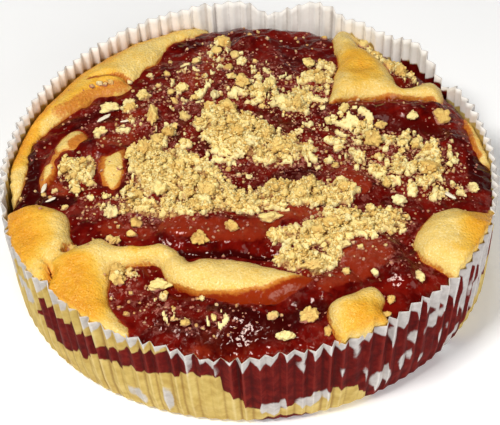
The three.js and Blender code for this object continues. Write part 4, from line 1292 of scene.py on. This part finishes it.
def floor_material():
    """A pale floor with a faint glow of its own, as under an even studio light."""
    s = Shader("studio_floor")
    colour = s.ramp(s.noise(60, 2), (0.3, (253, 253, 252)), (0.7, (255, 255, 255)))
    bump = s.bump(s.noise(8, 2), 0.02)
    return s.finish(colour, 0.9, bump, Emission_Color=(1, 1, 1, 1), Emission_Strength=FLOOR_GLOW)


# ---- The pieces ----
def make_sponge():
    points, faces = sponge_mesh()
    below = np.zeros(len(points) - len(K))
    fields = {"brown": top.brown, "stain": top.stain}
    attributes = {name: np.append(on_grid(field), below) for name, field in fields.items()}
    make_piece("sponge_cake", points, faces, sponge_material(), "sponge", attributes, "sponge")


def make_filling():
    points, faces, source = filling_mesh()
    fields = {"film": top.film, "pool": top.pool, "dust": top.dust, "cover": top.cover}
    attributes = {name: on_grid(field)[source] for name, field in fields.items()}
    make_piece("fruit_filling", points, faces, filling_material(), "filling", attributes, "cherry_filling")


def make_paper():
    points, faces, attributes = paper_mesh()
    make_piece("pleated_case", points, faces, paper_material(), "paper", attributes, "paper_case")


def make_crumbs():
    material = crumb_material()
    points, faces, source = bed_mesh()
    attributes = {
        # Painted light: the bed is paler on the crowns of its clumps; the loose crumbs' tone is random.
        "tone_and_crown_light": 0.45 + 0.45 * top.clumped,
        "soaked": 0.8 * (1 - smooth(1.1 * (top.bed - top.surface))),
        "painted_crease_shade": top.painted_crease_shade,
    }
    attributes = {name: field.ravel()[source] for name, field in attributes.items()}
    make_piece("crumb_bed", points, faces, material, "sponge", attributes)
    for seed, (kind, places) in enumerate(crumb_places().items(), start=90):
        points, faces, attributes = crumbs_mesh(kind, places, seed)
        make_piece(kind, points, faces, material, "sponge", attributes)
    make_piece("pale_slivers", *slivers_mesh(), sliver_material(), "sponge", {})


# ---- Camera, floor and light ----
def make_camera():
    data = bpy.data.cameras.new("camera")
    data.sensor_width = SENSOR
    data.lens = FOCAL_PIXELS * SENSOR / FRAME_WIDTH
    data.shift_y = SHIFT_Y
    data.clip_start = 0.01
    camera = bpy.data.objects.new("camera", data)
    tilt = Matrix.Rotation(math.pi / 2 - ELEVATION, 4, "X")
    roll = Matrix.Rotation(math.radians(CAMERA_ROLL), 4, "Z")
    camera.matrix_world = Matrix.Translation((EYE - Vector(MIDDLE)) * MM) @ tilt @ roll
    bpy.context.scene.collection.objects.link(camera)
    bpy.context.scene.camera = camera


def add_light(name, place, size, power, colour=(1, 1, 1)):
    """A square soft light that faces the cake."""
    data = bpy.data.lights.new(name, "AREA")
    data.size = size
    data.energy = power
    data.color = colour
    light = bpy.data.objects.new(name, data)
    light.location = place
    aim = Vector(LIGHT_AIM) - Vector(place)
    light.rotation_euler = aim.to_track_quat("-Z", "Y").to_euler()
    bpy.context.scene.collection.objects.link(light)


def make_stage():
    """A pale floor, a dim even world and soft lights, with small ones for the glints on the filling."""
    mesh = bpy.data.meshes.new("studio_floor")
    corners = [(x * FLOOR_HALF, y * FLOOR_HALF, 0) for x, y in ((-1, -1), (1, -1), (1, 1), (-1, 1))]
    mesh.from_pydata(corners, [], [(0, 1, 2, 3)])
    mesh.materials.append(floor_material())
    floor = bpy.data.objects.new("studio_floor", mesh)
    floor.location.z = -FLOOR_DROP
    bpy.context.scene.collection.objects.link(floor)
    world = bpy.data.worlds.new("studio")
    world.use_nodes = True
    background = world.node_tree.nodes["Background"]
    background.inputs["Color"].default_value = (1, 1, 1, 1)
    background.inputs["Strength"].default_value = WORLD_STRENGTH
    bpy.context.scene.world = world
    for light in LIGHTS:
        add_light(*light)
    bpy.context.scene.view_settings.view_transform = "Standard"


make_camera()
make_stage()
make_sponge()
make_filling()
make_paper()
make_crumbs()
